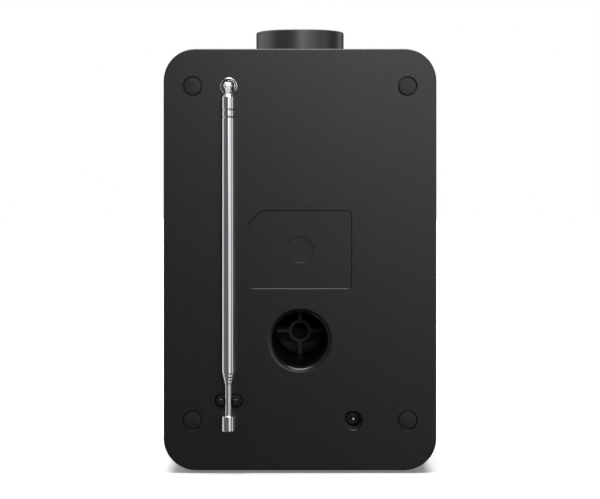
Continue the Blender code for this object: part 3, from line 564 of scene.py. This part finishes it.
def edge_rings(face_y, inward, radius=0.7 * MM, steps=5):
    """Rings that round the outer edge of an end face; inward is the way off the face along Y."""
    rings = []
    for inset, level in arc((radius, radius), radius, 180, 270, steps):
        rings.append(ring_at(cabinet_outline(inset), "Y", face_y + inward * level))
    return rings


def rim_rings(face_y, inward, radius=0.2 * MM):
    """A smaller rounding for the edges at the parting line."""
    return list(reversed(edge_rings(face_y, inward, radius, 2)))


LABEL_SIZE = (51.5 * MM, 38.9 * MM)
LABEL_CENTRE = (0.0, 111.4 * MM)
LABEL_CHAMFER = 6.3 * MM
LABEL_CORNER = 2.2 * MM
LABEL_DEPTH = 0.5 * MM
DIMPLE_RADIUS = 6.6 * MM
DIMPLE_DEPTH = 0.4 * MM


def label_outline(inset):
    """The label recess: a rounded rectangle whose upper +X corner is cut off."""
    right = LABEL_SIZE[0] / 2 - inset
    top = LABEL_SIZE[1] / 2 - inset
    chamfer = LABEL_CHAMFER - inset * (2 - math.sqrt(2))
    radius = LABEL_CORNER - inset
    soft = 1.2 * MM
    back = soft * math.tan(math.radians(22.5))
    points = arc((right - radius, -top + radius), radius, -90, 0, 6)
    points += arc((right - soft, top - chamfer - back), soft, 0, 45, 3)
    points += arc((right - chamfer - back, top - soft), soft, 45, 90, 3)
    points += arc((-right + radius, top - radius), radius, 90, 180, 6)
    points += arc((-right + radius, -top + radius), radius, 180, 270, 6)
    return [(x + LABEL_CENTRE[0], z + LABEL_CENTRE[1]) for x, z in points]


def recess_cutter(outline, depth, lip=0.22 * MM, bottom=0.22 * MM):
    """A cutter for a shallow recess in the rear face, with a rounded rim and floor edge."""
    rings = []
    for inset, level in arc((bottom, bottom), bottom, 270, 180, 3):
        rings.append(ring_at(outline(inset), "Y", REAR_Y - depth + level))
    for out, level in arc((lip, -lip), lip, 180, 90, 4):
        rings.append(ring_at(outline(-out), "Y", REAR_Y + level))
    rings.append(ring_at(outline(-lip), "Y", REAR_Y + 1 * MM))
    return loft(rings)


PORT_THROAT = 13.45 * MM
PORT_LIP_ROUND = 2.7 * MM
PORT_SEAT_GAP = 0.3 * MM
PORT_SEAT_FLOOR_Y = 40 * MM


def port_mouth_cutter():
    axis = middle("port_tube")
    lip = PORT_LIP_ROUND
    seat = half_size("port_tube").x + PORT_SEAT_GAP
    lip_low = REAR_Y - lip
    past = REAR_Y + 2 * MM
    throat = PORT_THROAT
    floor = PORT_SEAT_FLOOR_Y
    profile = [(0, floor), (seat, floor), (seat, lip_low), (throat, lip_low)]
    profile += arc((throat + lip, lip_low), lip, 180, 90, 14)[1:]
    profile += [(throat + lip, past), (0, past)]
    return lathe(profile, axis, "Y", 128)


BOSS_END_Y = 45 * MM
# Bosses on the inside of the cover: radius, and the Y of the end that faces the front
SCREW_BOSS = (7 * MM, BOSS_END_Y)
ANTENNA_BOSS = (8 * MM, 49 * MM)
PORT_BOSS = (19 * MM, 46 * MM)
JACK_BOSS_RADIUS = 7.5 * MM
JACK_GAP = 0.3 * MM
BOSS_ROOT_DEPTH = 2.4 * MM
REAR_WALL = 3 * MM
WELL_RADIUS = 4.9 * MM
WELL_DEPTH = 2.8 * MM
JACK_HOLE_RADIUS = 4.5 * MM
JACK_HOLE_LIP = 0.5 * MM
BEZEL_HOLE_RADIUS = 4.65 * MM
BEZEL_GAP = 0.3 * MM
HOLE_LIP = 0.15 * MM
CLIP_POCKET_DEPTH = 2.2 * MM
CLIP_POCKET_LIP = 0.4 * MM
CLIP_POCKET_BOTTOM = 0.3 * MM
CLIP_POCKET_GAP = 0.3 * MM


def make_rear_shell():
    front = COVER_LOW.y
    inner = cabinet_outline(WALL)
    rings = [ring_at(inner, "Y", REAR_Y - REAR_WALL), ring_at(inner, "Y", front)]
    rings += rim_rings(front, 1)
    rings += edge_rings(REAR_Y, -1)
    shell = new_object("rear_shell", loft(rings))
    root = REAR_Y - BOSS_ROOT_DEPTH
    jack_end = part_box("dc_jack_body")[1].y + JACK_GAP
    bosses = [cylinder(*SCREW_BOSS, root, middle(plug), "Y", 40) for plug in PLUGS]
    bosses.append(cylinder(*ANTENNA_BOSS, root, middle("antenna_bezel"), "Y", 40))
    bosses.append(cylinder(*PORT_BOSS, root, middle("port_tube"), "Y", 80))
    bosses.append(cylinder(JACK_BOSS_RADIUS, jack_end, root, middle("dc_jack_pin"), "Y", 48))
    cut(shell, recess_dimple())
    fuse(shell, together(*bosses))
    holes = [port_mouth_cutter(), recess_cutter(label_outline, LABEL_DEPTH)]
    for plug in PLUGS:
        holes.append(hole(WELL_RADIUS, REAR_Y - WELL_DEPTH, REAR_Y, HOLE_LIP, middle(plug)))
    holes.append(hole(JACK_HOLE_RADIUS, BOSS_END_Y, REAR_Y, JACK_HOLE_LIP, middle("dc_jack_pin")))
    bezel_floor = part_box("antenna_bezel")[0].y - BEZEL_GAP
    holes.append(hole(BEZEL_HOLE_RADIUS, bezel_floor, REAR_Y, HOLE_LIP, middle("antenna_bezel")))
    holes.append(recess_cutter(clip_pocket, CLIP_POCKET_DEPTH, CLIP_POCKET_LIP, CLIP_POCKET_BOTTOM))
    cut(shell, together(*holes))
    finish_piece(shell, "rear_cover")


def clip_pocket(inset):
    """The oval recess that the antenna clip's base is let into."""
    return oval("antenna_clip", inset - CLIP_POCKET_GAP)


def recess_dimple():
    floor = REAR_Y - LABEL_DEPTH - DIMPLE_DEPTH
    return hole(DIMPLE_RADIUS, floor, REAR_Y - LABEL_DEPTH + 0.001 * MM, 0.15 * MM,
                (LABEL_CENTRE[0], 0, LABEL_CENTRE[1]), bottom=0.12 * MM)


FRONT_RIM = 3 * MM
FRONT_FLOOR_DEPTH = 6 * MM
BAFFLE = 4 * MM
BAFFLE_CUT = 9 * MM
POST_RADIUS = 5 * MM
POST_START = 3 * MM
POST_END_Y = 44.7 * MM
SPEAKER_HOLE_RADIUS = 33 * MM
CONTROL_OPENING = (96 * MM, 44 * MM, 3 * MM)
SHAFT_HOLE_RADIUS = 4.8 * MM
SHAFT_HOLE_DEPTH = 5 * MM


def make_front_shell():
    rim = FRONT_RIM
    floor = FRONT_Y + FRONT_FLOOR_DEPTH
    rear = COVER_LOW.y - PARTING_GAP
    inner = cabinet_outline(WALL)
    rings = [ring_at(inner, "Y", floor + BAFFLE), ring_at(inner, "Y", rear)]
    rings += rim_rings(rear, -1)
    rings += edge_rings(FRONT_Y, 1)
    lip = 0.3 * MM
    for inset, level in arc((rim - lip, lip), lip, -90, 0, 3):
        rings.append(ring_at(cabinet_outline(inset), "Y", FRONT_Y + level))
    rings.append(ring_at(cabinet_outline(rim), "Y", floor))
    shell = new_object("front_shell", loft(rings))
    posts = [cylinder(POST_RADIUS, floor + POST_START, POST_END_Y, middle(plug), "Y", 32)
             for plug in PLUGS]
    fuse(shell, together(*posts))
    behind = floor + BAFFLE_CUT
    holes = [cylinder(SPEAKER_HOLE_RADIUS, FRONT_Y, behind, middle("speaker_basket"), "Y", 96)]
    opening = rounded_outline(*CONTROL_OPENING, (0, middle("control_board").z), 6)
    holes.append(prism(opening, "Y", FRONT_Y, behind))
    top = CABINET_MIDDLE.z + CABINET.z / 2
    holes.append(hole(SHAFT_HOLE_RADIUS, top - SHAFT_HOLE_DEPTH, top, lip, (0, 0, 0), "Z"))
    cut(shell, together(*holes))
    finish_piece(shell, "front_housing")




def make_base_pad():
    low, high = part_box("base_pad")
    size = high - low
    centre = (low + high) / 2
    rings = []
    edge = 0.35 * MM
    for inset, level in [*arc((edge, edge), edge, 270, 180, 4), (0, size.z)]:
        outline = rounded_outline(size.x - 2 * inset, size.y - 2 * inset, 8 * MM - inset,
                                  (centre.x, centre.y), 10)
        rings.append(ring_at(outline, "Z", low.z + level))
    pad = new_object("rubber_base_pad", loft(rings))
    finish_piece(pad, "base_pad")


def make_screw_plugs():
    """Soft plugs with a rounded rim and a faintly crowned face."""
    for plug in PLUGS:
        low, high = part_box(plug)
        radius = half_size(plug).x
        edge = 0.35 * MM
        crown = 0.05 * MM
        profile = [(0, low.y), (radius - 0.1 * MM, low.y), (radius, low.y + 0.1 * MM)]
        profile += arc((radius - edge, high.y - crown - edge), edge, 0, 80, 5)
        profile += [(radius * 0.6, high.y - crown * 0.3), (0, high.y)]
        cap = new_object(f"{plug}_cap", lathe(profile, middle(plug), "Y", 64))
        finish_piece(cap, plug)


# Bass port and DC inlet

PORT_FAR_RADIUS = 12.15 * MM
PORT_FLARE = 1.6 * MM
GUARD_DEPTH = 66 * MM
GUARD_THICKNESS = 2 * MM
GUARD_ROUND = 0.25 * MM
GUARD_RING = (4.2 * MM, 6.25 * MM)
SPOKE_HALF_WIDTH = 1.1 * MM
SPOKE_START = 5.2 * MM
SPOKE_BITE = 1 * MM


def make_port():
    axis = middle("port_tube")
    low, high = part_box("port_tube")
    outer = half_size("port_tube").x
    rear = REAR_Y - GUARD_DEPTH
    front = rear - GUARD_THICKNESS
    far_radius = PORT_FAR_RADIUS
    flare = PORT_FLARE
    profile = [(outer, low.y + 1 * MM), (outer, high.y), (PORT_THROAT, high.y), (far_radius, rear),
               (far_radius, low.y + flare)]
    profile += arc((far_radius + flare, low.y + flare), flare, 180, 270, 5)[1:]
    port = new_object("bass_port", lathe(profile, axis, "Y", 128, closed=True))
    spokes = [make_spoke(axis, turn, front, rear) for turn in range(4)]
    inside, outside = GUARD_RING
    bend = rear - GUARD_ROUND
    guard = [(inside, front), (outside, front), (outside, bend)]
    guard += arc((outside - GUARD_ROUND, bend), GUARD_ROUND, 0, 90, 3)[1:]
    guard += arc((inside + GUARD_ROUND, bend), GUARD_ROUND, 90, 180, 3)
    fuse(port, together(*spokes))
    fuse(port, lathe(guard, axis, "Y", 64, closed=True))
    finish_piece(port, "port_tube")


def make_spoke(axis, turn, front, rear):
    """One spoke of the guard, running out from the ring into the tube's wall."""
    half = SPOKE_HALF_WIDTH
    bend = rear - GUARD_ROUND
    section = [(-half, front), (half, front)]
    section += arc((half - GUARD_ROUND, bend), GUARD_ROUND, 0, 90, 2)
    section += arc((-half + GUARD_ROUND, bend), GUARD_ROUND, 90, 180, 2)
    cosine = round(math.cos(turn * math.pi / 2))
    sine = round(math.sin(turn * math.pi / 2))
    rings = []
    for distance in (SPOKE_START, PORT_FAR_RADIUS + SPOKE_BITE):
        ring = []
        for across, level in section:
            ring.append((axis.x + distance * cosine - across * sine, level,
                         axis.z + distance * sine + across * cosine))
        rings.append(ring)
    return loft(rings)


JACK_BORE_RADIUS = 3.2 * MM
JACK_BORE_DEPTH = 9.5 * MM
JACK_BORE_LIP = 1.0 * MM
JACK_EDGE = 0.4 * MM
PIN_NOSE = 0.7 * MM


def make_dc_inlet():
    low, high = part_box("dc_jack_body")
    axis = middle("dc_jack_pin")
    jack = new_object("dc_socket", block(low, high))
    soften(jack, JACK_EDGE)
    cut(jack, hole(JACK_BORE_RADIUS, high.y - JACK_BORE_DEPTH, high.y, JACK_BORE_LIP, axis))
    finish_piece(jack, "dc_jack_body")
    pin_low, pin_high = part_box("dc_jack_pin")
    radius = half_size("dc_jack_pin").x
    profile = [(0, pin_low.y), (radius, pin_low.y), (radius, pin_high.y - 0.9 * MM)]
    profile += arc((radius - PIN_NOSE, pin_high.y - PIN_NOSE), PIN_NOSE, 0, 90, 6)
    profile.append((0, pin_high.y))
    pin = new_object("dc_centre_pin", lathe(profile, axis, "Y", 40))
    finish_piece(pin, "dc_jack_pin")


# Antenna

def make_antenna_head():
    axis = middle("antenna_bezel")
    low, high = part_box("antenna_bezel")
    outer = half_size("antenna_bezel").x
    inner = outer - 0.55 * MM
    crown = (outer - inner) / 2
    profile = [(inner, low.y), (outer, low.y)]
    profile += arc(((outer + inner) / 2, high.y - crown), crown, 0, 180, 8)
    bezel = new_object("antenna_ring", lathe(profile, axis, "Y", 96, closed=True))
    finish_piece(bezel, "antenna_bezel")

    pivot = middle("antenna_hinge_pin")
    low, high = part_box("antenna_swivel")
    radius = 2.95 * MM
    flange = half_size("antenna_swivel").x
    face = REAR_Y - 0.8 * MM
    profile = [(0, low.y), (2 * MM, low.y), (2 * MM, REAR_Y - 2.3 * MM), (flange, REAR_Y - 2.3 * MM)]
    profile += arc((flange - 0.3 * MM, face - 0.3 * MM), 0.3 * MM, 0, 90, 4)
    profile += [(radius, face + 0.5 * MM)]
    profile += arc((0, pivot.y), radius, 0, 90, 14)[:-1]
    profile.append((0, pivot.y + radius))
    head = new_object("antenna_head", lathe(profile, pivot, "Y", 72))
    slot = 1.45 * MM
    slot_top = pivot.z + 2.3 * MM
    cut(head, block((pivot.x - slot, REAR_Y + 1.6 * MM, pivot.z - 5 * MM),
                    (pivot.x + slot, REAR_Y + 12 * MM, slot_top)))
    cut(head, cylinder(0.85 * MM, pivot.x - 5 * MM, pivot.x + 5 * MM, pivot, "X", 32))
    soften(head, 0.12 * MM)
    finish_piece(head, "antenna_swivel")

    low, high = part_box("antenna_hinge_pin")
    radius = half_size("antenna_hinge_pin").z
    dome = 0.25 * MM
    profile = [(0, low.x), (radius - dome, low.x), (radius, low.x + dome), (radius, high.x - dome),
               (radius - dome, high.x), (0, high.x)]
    pin = new_object("antenna_pin", lathe(profile, pivot, "X", 32))
    finish_piece(pin, "antenna_hinge_pin")


def make_knuckle():
    """The flat tongue in the head's slot, widening into the plug in the outer tube."""
    pivot = middle("antenna_hinge_pin")
    axis = middle("antenna_tube_1")
    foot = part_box("antenna_knuckle")[0].z
    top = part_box("antenna_tube_1")[1].z
    bore = half_size("antenna_knuckle").y
    profile = [(0, foot), (bore, foot), (bore, top)]
    profile += arc((bore - 1.0 * MM, top), 1.0 * MM, 0, 60, 6)[1:]
    profile += [(1.2 * MM, top + 1.2 * MM), (0, top + 1.3 * MM)]
    knuckle = new_object("antenna_tongue", lathe(profile, axis, "Z", 64))
    half = 2.0 * MM
    thick = 1.2 * MM
    outline = [(pivot.y - half, top - 0.5 * MM), (pivot.y + half, top - 0.5 * MM)]
    outline += arc((pivot.y, pivot.z), half, 0, 180, 24)
    edge = 0.25 * MM
    rings = []
    for inset, level in ((edge, -thick), (0, -thick + edge), (0, thick - edge), (edge, thick)):
        shrink = (half - inset) / half
        ring = [(pivot.y + (y - pivot.y) * shrink, pivot.z + (z - pivot.z) * shrink) for y, z in outline]
        rings.append(ring_at(ring, "X", axis.x + level))
    fuse(knuckle, loft(rings))
    cut(knuckle, cylinder(0.85 * MM, axis.x - 3 * MM, axis.x + 3 * MM, pivot, "X", 32))
    finish_piece(knuckle, "antenna_knuckle")


def make_sections():
    """The telescopic tubes, each with a rolled mouth; the outer one has two crimped grooves."""
    for number, node in enumerate(SECTIONS, 1):
        low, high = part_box(node)
        radius = half_size(node).x
        bore = radius - 0.35 * MM
        profile = [(bore, low.z)]
        profile += rolled_end(radius, low.z, 1)
        if number == 1:
            for distance in (10.4 * MM, 6.7 * MM):
                profile += groove_points(radius, high.z - distance)
        profile += reversed(rolled_end(radius, high.z, -1))
        profile.append((bore, high.z))
        section = new_object(f"antenna_section_{number}",
                             lathe(profile, middle(node), "Z", 72, closed=True))
        finish_piece(section, node)


def rolled_end(radius, end, inward, across=0.3 * MM, along=0.65 * MM):
    """The rounding that draws a tube's mouth in, from its end to its full radius."""
    points = []
    for cosine, sine in arc((0, 0), 1, 0, 90, 6):
        points.append((radius - across * (1 - sine), end + inward * along * (1 - cosine)))
    return points


def groove_points(radius, level, depth=0.22 * MM, half=0.55 * MM):
    """A smooth rolled groove round a tube."""
    points = []
    steps = 8
    for step in range(steps + 1):
        share = step / steps
        dip = depth * 0.5 * (1 - math.cos(2 * math.pi * share))
        points.append((radius - dip, level - half + 2 * half * share))
    return points


def make_rod_and_tip():
    low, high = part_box("antenna_rod")
    axis = middle("antenna_rod")
    radius = half_size("antenna_rod").x
    edge = 0.15 * MM
    profile = [(0, low.z), (radius, low.z), (radius, high.z - edge),
               (radius - edge, high.z), (0, high.z)]
    rod = new_object("antenna_inner_rod", lathe(profile, axis, "Z", 48))
    finish_piece(rod, "antenna_rod")
    tip_low, tip_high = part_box("antenna_tip")
    outer = half_size("antenna_tip").x
    edge = 0.35 * MM
    bore = radius + 0.1 * MM
    profile = [(0, tip_low.z)]
    profile += arc((outer - edge, tip_low.z + edge), edge, -90, 0, 5)
    profile += arc((outer - edge, tip_high.z - edge), edge, 0, 90, 5)
    profile += [(bore + 0.1 * MM, tip_high.z), (bore, tip_high.z - 0.1 * MM), (bore, low.z - 0.3 * MM),
                (0, low.z - 0.3 * MM)]
    tip = new_object("antenna_end_cap", lathe(profile, axis, "Z", 72))
    finish_piece(tip, "antenna_tip")


CLIP_BASE_DROP = 1.0 * MM
PRONG = Vector((2.9, 0, 3.3)) * MM
PRONG_GAP = 4.4 * MM
PRONG_CORNER = 0.8 * MM
PRONG_CROWN = 0.7 * MM
PRONG_FOOT_INSET = 0.4 * MM


def make_clip():
    """Two rounded prongs on a base let into the cover."""
    low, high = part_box("antenna_clip")
    centre = middle("antenna_clip")
    base_rings = []
    edge = 0.2 * MM
    base_top = REAR_Y - CLIP_BASE_DROP
    eased = 0.06 * MM
    for inset, level in ((0, low.y), (0, base_top - edge), (eased, base_top - eased), (edge, base_top)):
        base_rings.append(ring_at(oval("antenna_clip", inset, 10), "Y", level))
    clip = new_object("antenna_cradle", loft(base_rings))
    for side in (-1, 1):
        x = centre.x + side * (PRONG_GAP + PRONG.x) / 2
        foot = rounded_outline(PRONG.x, PRONG.z, PRONG_CORNER, (x, centre.z), 6)
        rings = [ring_at(foot, "Y", low.y + PRONG_FOOT_INSET)]
        for inset, level in arc((PRONG_CROWN, high.y - PRONG_CROWN), PRONG_CROWN, 180, 90, 6):
            outline = rounded_outline(PRONG.x - 2 * inset, PRONG.z - 2 * inset,
                                      PRONG_CORNER - inset * 0.7, (x, centre.z), 6)
            rings.append(ring_at(outline, "Y", level))
        fuse(clip, loft(rings))
    finish_piece(clip, "antenna_clip")


# Knob

def make_knob():
    low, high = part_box("knob_shell")
    radius = half_size("knob_shell").x
    wall = 1.3 * MM
    ceiling = high.z - 1.6 * MM
    edge = 0.7 * MM
    foot = 0.35 * MM
    dish_radius = radius - 2.2 * MM
    dish_depth = 0.35 * MM
    profile = [(0, ceiling), (radius - wall, ceiling), (radius - wall, low.z + foot)]
    profile += [(radius - wall + 0.15 * MM, low.z), (radius - foot, low.z)]
    profile += arc((radius - foot, low.z + foot), foot, -90, 0, 4)[1:]
    profile += arc((radius - edge, high.z - edge), edge, 0, 90, 7)
    profile += arc((dish_radius + dish_depth, high.z - dish_depth), dish_depth, 90, 180, 4)
    profile += [(dish_radius - 0.3 * MM, high.z - dish_depth - 0.05 * MM),
                (radius * 0.5, high.z - dish_depth - 0.12 * MM), (0, high.z - dish_depth - 0.15 * MM)]
    shell = new_object("volume_knob", lathe(profile, middle("knob_shell"), "Z", 160))
    finish_piece(shell, "knob_shell")


# Controls on the front

FASCIA_THICKNESS = 2.6 * MM
FRONT_INSET = 3.3 * MM  # from the cabinet's outline to that of the fascia and the grille
OPENING_GAP = 0.3 * MM
OPENING_LIP = 0.2 * MM


def make_fascia():
    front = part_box("control_fascia")[0].y
    rear = front + FASCIA_THICKNESS
    rings = [ring_at(fascia_outline(0), "Y", rear)]
    edge = 0.35 * MM
    for inset, level in arc((edge, edge), edge, 180, 270, 4):
        rings.append(ring_at(fascia_outline(inset), "Y", front + level))
    fascia = new_object("front_fascia", loft(rings))
    holes = [lipped_opening(window_opening, front, rear)]
    for button in BUTTONS:
        holes.append(lipped_opening(button_opening(button), front, rear))
    cut(fascia, together(*holes))
    finish_piece(fascia, "control_fascia")


def fascia_outline(inset):
    small = 1.0 * MM - inset * 0.5
    large = CORNER_RADIUS - FRONT_INSET - inset
    return box_outline("control_fascia", inset, (small, large, large, small), 14)


def lipped_opening(outline, front, rear):
    """A cutter through the fascia, whose rim is rounded at the front."""
    lip = OPENING_LIP
    rings = [ring_at(outline(0), "Y", rear + 1 * MM)]
    for out, level in arc((lip, lip), lip, 180, 270, 3):
        rings.append(ring_at(outline(-out), "Y", front + level))
    rings.append(ring_at(outline(-lip), "Y", front - 1 * MM))
    return loft(rings)


def window_opening(inset):
    return box_outline("display_window", inset - OPENING_GAP, WINDOW_CORNER + OPENING_GAP - inset, 8)


WINDOW_CORNER = 1.7 * MM
BUTTON_SIZE = (11 * MM, 5 * MM)
BUTTON_FLANGE_DEPTH = 3.3 * MM
BUTTON_FLANGE_THICKNESS = 0.8 * MM
BUTTON_FLANGE_WIDTH = 1.2 * MM
BUTTON_STEM = (3.4 * MM, 3.2 * MM, 1.59 * MM)
BEAD_REACH = 2.3 * MM


def capsule(inset, centre):
    width = BUTTON_SIZE[0] - 2 * inset
    height = BUTTON_SIZE[1] - 2 * inset
    return rounded_outline(width, height, height / 2 - 0.005 * MM, (centre.x, centre.z), 12)


def button_opening(node):
    def outline(inset):
        return capsule(inset - OPENING_GAP, middle(node))

    return outline


def make_window():
    low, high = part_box("display_window")
    edge = 0.3 * MM
    rings = []
    for inset, level in [*arc((edge, edge), edge, 270, 180, 4), (0, high.y - low.y)]:
        outline = box_outline("display_window", inset, WINDOW_CORNER - inset, 8)
        rings.append(ring_at(outline, "Y", low.y + level))
    window = new_object("display_lens", loft(rings))
    finish_piece(window, "display_window")


def make_buttons():
    """Capsule caps, crowned, each with a small raised bead so that a finger finds it."""
    for node in BUTTONS:
        low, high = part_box(node)
        centre = middle(node)
        edge = 0.45 * MM
        crown = 0.12 * MM
        rings = []
        for share in (0.25, 0.6):
            rings.append(ring_at(capsule(BEAD_REACH * (1 - share) + 0.1 * MM, centre), "Y",
                                 low.y + crown * share * 0.3))
        for inset, level in arc((edge, edge + crown), edge, 262, 180, 6):
            rings.append(ring_at(capsule(inset, centre), "Y", low.y + level))
        flange = low.y + BUTTON_FLANGE_DEPTH
        rings.append(ring_at(capsule(0, centre), "Y", flange))
        for level in (flange, flange + BUTTON_FLANGE_THICKNESS):
            rings.append(ring_at(capsule(-BUTTON_FLANGE_WIDTH, centre), "Y", level))
        for level in (flange + BUTTON_FLANGE_THICKNESS, high.y):
            rings.append(ring_at(rounded_outline(*BUTTON_STEM, (centre.x, centre.z), 12), "Y", level))
        cap = new_object(f"{node}_cap", loft(rings))
        finish_piece(cap, node)


# Grille

def grille_outline(inset):
    corner = max(CORNER_RADIUS - FRONT_INSET - inset, 2 * MM)
    edge = max(2.2 * MM - inset, 0.8 * MM)
    return box_outline("grille_cloth", inset, (corner, edge, edge, corner))


def make_grille_cloth():
    """The cloth is stretched over its frame: a barely crowned face that rolls back over the edge."""
    low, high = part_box("grille_cloth")
    roll = 1.6 * MM
    dome = 0.25 * MM
    rings = [ring_at(grille_outline(0), "Y", high.y)]
    for inset, level in arc((roll, roll), roll, 180, 262, 9):
        rings.append(ring_at(grille_outline(inset), "Y", low.y + dome + level))
    size = high - low
    face_rings = 10
    for step in range(1, face_rings + 1):
        share = step / face_rings
        inset = roll + (size.x / 2 - roll - 4 * MM) * share
        rise = dome * (1 - (1 - share) ** 2)
        rings.append(ring_at(grille_outline(inset), "Y", low.y + dome - rise))
    bm = loft(rings, open_start=True)
    if sum(face.normal.y * face.calc_area() for face in bm.faces) > 0:
        bmesh.ops.reverse_faces(bm, faces=bm.faces)
    cloth = new_object("grille_fabric_sheet", bm)
    solid = cloth.modifiers.new("Thread thickness", "SOLIDIFY")
    solid.thickness = 0.45 * MM
    solid.offset = -1.0
    settle(cloth)
    finish_piece(cloth, "grille_cloth")


# Floor, light and camera

CAMERA_DISTANCE = 895 * MM
CAMERA_HEIGHT = 136.15 * MM
SENSOR_WIDTH = 36.0
FOCAL_LENGTH = 107.8
SHIFT_Y = -0.0825
FLOOR_GLOW = 0.17
DIM_STUDIO = 0.036
STUDIO_TINT = (0.97, 0.98, 1.0, 1.0)


def make_floor():
    """A pale floor that catches shadows; the glossy black object mirrors the studio instead."""
    half = 12.0
    bm = bmesh.new()
    corners = [bm.verts.new((x * half, y * half, 0.0)) for x, y in ((-1, -1), (1, -1), (1, 1), (-1, 1))]
    bm.faces.new(corners)
    floor = new_object("floor", bm)
    look = Look("pale_floor", (0.86, 0.86, 0.86), 0.75)
    look.set("Specular IOR Level", 0.2)
    look.set("Emission Color", (1.0, 1.0, 1.0, 1.0))
    look.set("Emission Strength", FLOOR_GLOW)
    look.vary_color(look.noise(3.0, 2.0), 0.01)
    floor.data.materials.append(look.material)
    floor.visible_glossy = False
    floor.visible_diffuse = False


def direction(azimuth, elevation):
    """A unit vector; azimuth 0 points from the rear face at the camera, and + is to its right."""
    turn = math.radians(azimuth)
    rise = math.radians(elevation)
    return (-math.sin(turn) * math.cos(rise), math.cos(turn) * math.cos(rise), math.sin(rise))


# Large far soft boxes, each the overlap of soft half-spaces: (azimuth and elevation that a side
# faces, the angle from there at which light starts, and the angle at which it is full)
FAR_BOXES = {
    "right_wall": (1.34, ((99.6, 2.65, 45.4, 30.3), (0, 0, 89.0, 48.9))),
    "right_window": (0.76, ((24.8, 12.8, 29.9, 20.6),)),
    "centre_glow": (1.60, ((4.9, 11.5, 12.9, 5.0),)),
    "left_strip": (0.85, ((-2, 0, 150, 125), (178, 0, 122, 85), (-92, 0, 75, 60))),
    "left_fill": (0.08, ((-32, 5, 46, 22),)),
}
# Near soft boxes: place, what they face, width and height, and radiance
NEAR_BOXES = {
    "key": ((-0.0224, 0.65, 0.465), (0, 0.056, 0.12), (0.20, 0.20), 2.64),
    "right_rim": ((-0.42, -0.33, 0.26), (0.0, 0.0, 0.20), (0.16, 0.40), 1.0),
}
OVERHEAD = 5.0


def make_world():
    """White to the camera, and a dim studio with soft boxes for everything that reflects."""
    world = bpy.data.worlds.new("studio")
    bpy.context.scene.world = world
    world.use_nodes = True
    tree = world.node_tree
    ray = tree.nodes.new("ShaderNodeTexCoord").outputs["Generated"]
    glow = None
    for strength, sides in FAR_BOXES.values():
        box = None
        for azimuth, elevation, start, full in sides:
            facing = tree.nodes.new("ShaderNodeVectorMath")
            facing.operation = "DOT_PRODUCT"
            facing.inputs[1].default_value = direction(azimuth, elevation)
            tree.links.new(ray, facing.inputs[0])
            side = tree.nodes.new("ShaderNodeMapRange")
            side.interpolation_type = "SMOOTHSTEP"
            side.inputs["From Min"].default_value = math.cos(math.radians(start))
            side.inputs["From Max"].default_value = math.cos(math.radians(full))
            tree.links.new(facing.outputs["Value"], side.inputs["Value"])
            box = side.outputs["Result"] if box is None else world_math(tree, "MULTIPLY", box,
                                                                       side.outputs["Result"])
        box = world_math(tree, "MULTIPLY", box, strength)
        glow = box if glow is None else world_math(tree, "ADD", glow, box)
    background = tree.nodes["Background"]
    tree.links.new(world_math(tree, "ADD", glow, DIM_STUDIO), background.inputs["Strength"])
    background.inputs["Color"].default_value = STUDIO_TINT
    seen = tree.nodes.new("ShaderNodeBackground")
    seen.inputs["Color"].default_value = (1.0, 1.0, 1.0, 1.0)
    path = tree.nodes.new("ShaderNodeLightPath")
    mix = tree.nodes.new("ShaderNodeMixShader")
    tree.links.new(path.outputs["Is Camera Ray"], mix.inputs["Fac"])
    tree.links.new(background.outputs["Background"], mix.inputs[1])
    tree.links.new(seen.outputs["Background"], mix.inputs[2])
    tree.links.new(mix.outputs["Shader"], tree.nodes["World Output"].inputs["Surface"])


def world_math(tree, operation, first, second):
    made = tree.nodes.new("ShaderNodeMath")
    made.operation = operation
    tree.links.new(first, made.inputs[0])
    if isinstance(second, float):
        made.inputs[1].default_value = second
    else:
        tree.links.new(second, made.inputs[1])
    return made.outputs["Value"]


def make_lights():
    for name, (place, target, size, radiance) in NEAR_BOXES.items():
        data = bpy.data.lights.new(name, "AREA")
        data.shape = "RECTANGLE"
        data.size, data.size_y = size
        data.energy = radiance * math.pi * size[0] * size[1]
        box = bpy.data.objects.new(name, data)
        box.location = place
        box.rotation_euler = (Vector(target) - Vector(place)).to_track_quat("-Z", "Y").to_euler()
        box.visible_camera = False
        bpy.context.scene.collection.objects.link(box)
    data = bpy.data.lights.new("overhead", "SUN")
    data.energy = OVERHEAD
    data.angle = math.radians(50)
    sun = bpy.data.objects.new("overhead", data)
    bpy.context.scene.collection.objects.link(sun)


def make_camera():
    data = bpy.data.cameras.new("camera")
    data.sensor_width = SENSOR_WIDTH
    data.lens = FOCAL_LENGTH
    data.shift_y = SHIFT_Y
    data.clip_start = 0.01
    camera = bpy.data.objects.new("camera", data)
    camera.location = (0.0, REAR_Y + CAMERA_DISTANCE, CAMERA_HEIGHT)
    camera.rotation_euler = (math.pi / 2, 0.0, math.pi)
    bpy.context.scene.collection.objects.link(camera)
    bpy.context.scene.camera = camera


def main():
    bpy.context.scene.view_settings.view_transform = "Standard"
    make_camera()
    dress_frame_nodes()
    make_rear_shell()
    make_front_shell()
    make_base_pad()
    make_screw_plugs()
    make_port()
    make_dc_inlet()
    make_antenna_head()
    make_knuckle()
    make_sections()
    make_rod_and_tip()
    make_clip()
    make_knob()
    make_fascia()
    make_window()
    make_buttons()
    make_grille_cloth()
    make_floor()
    make_world()
    make_lights()


main()
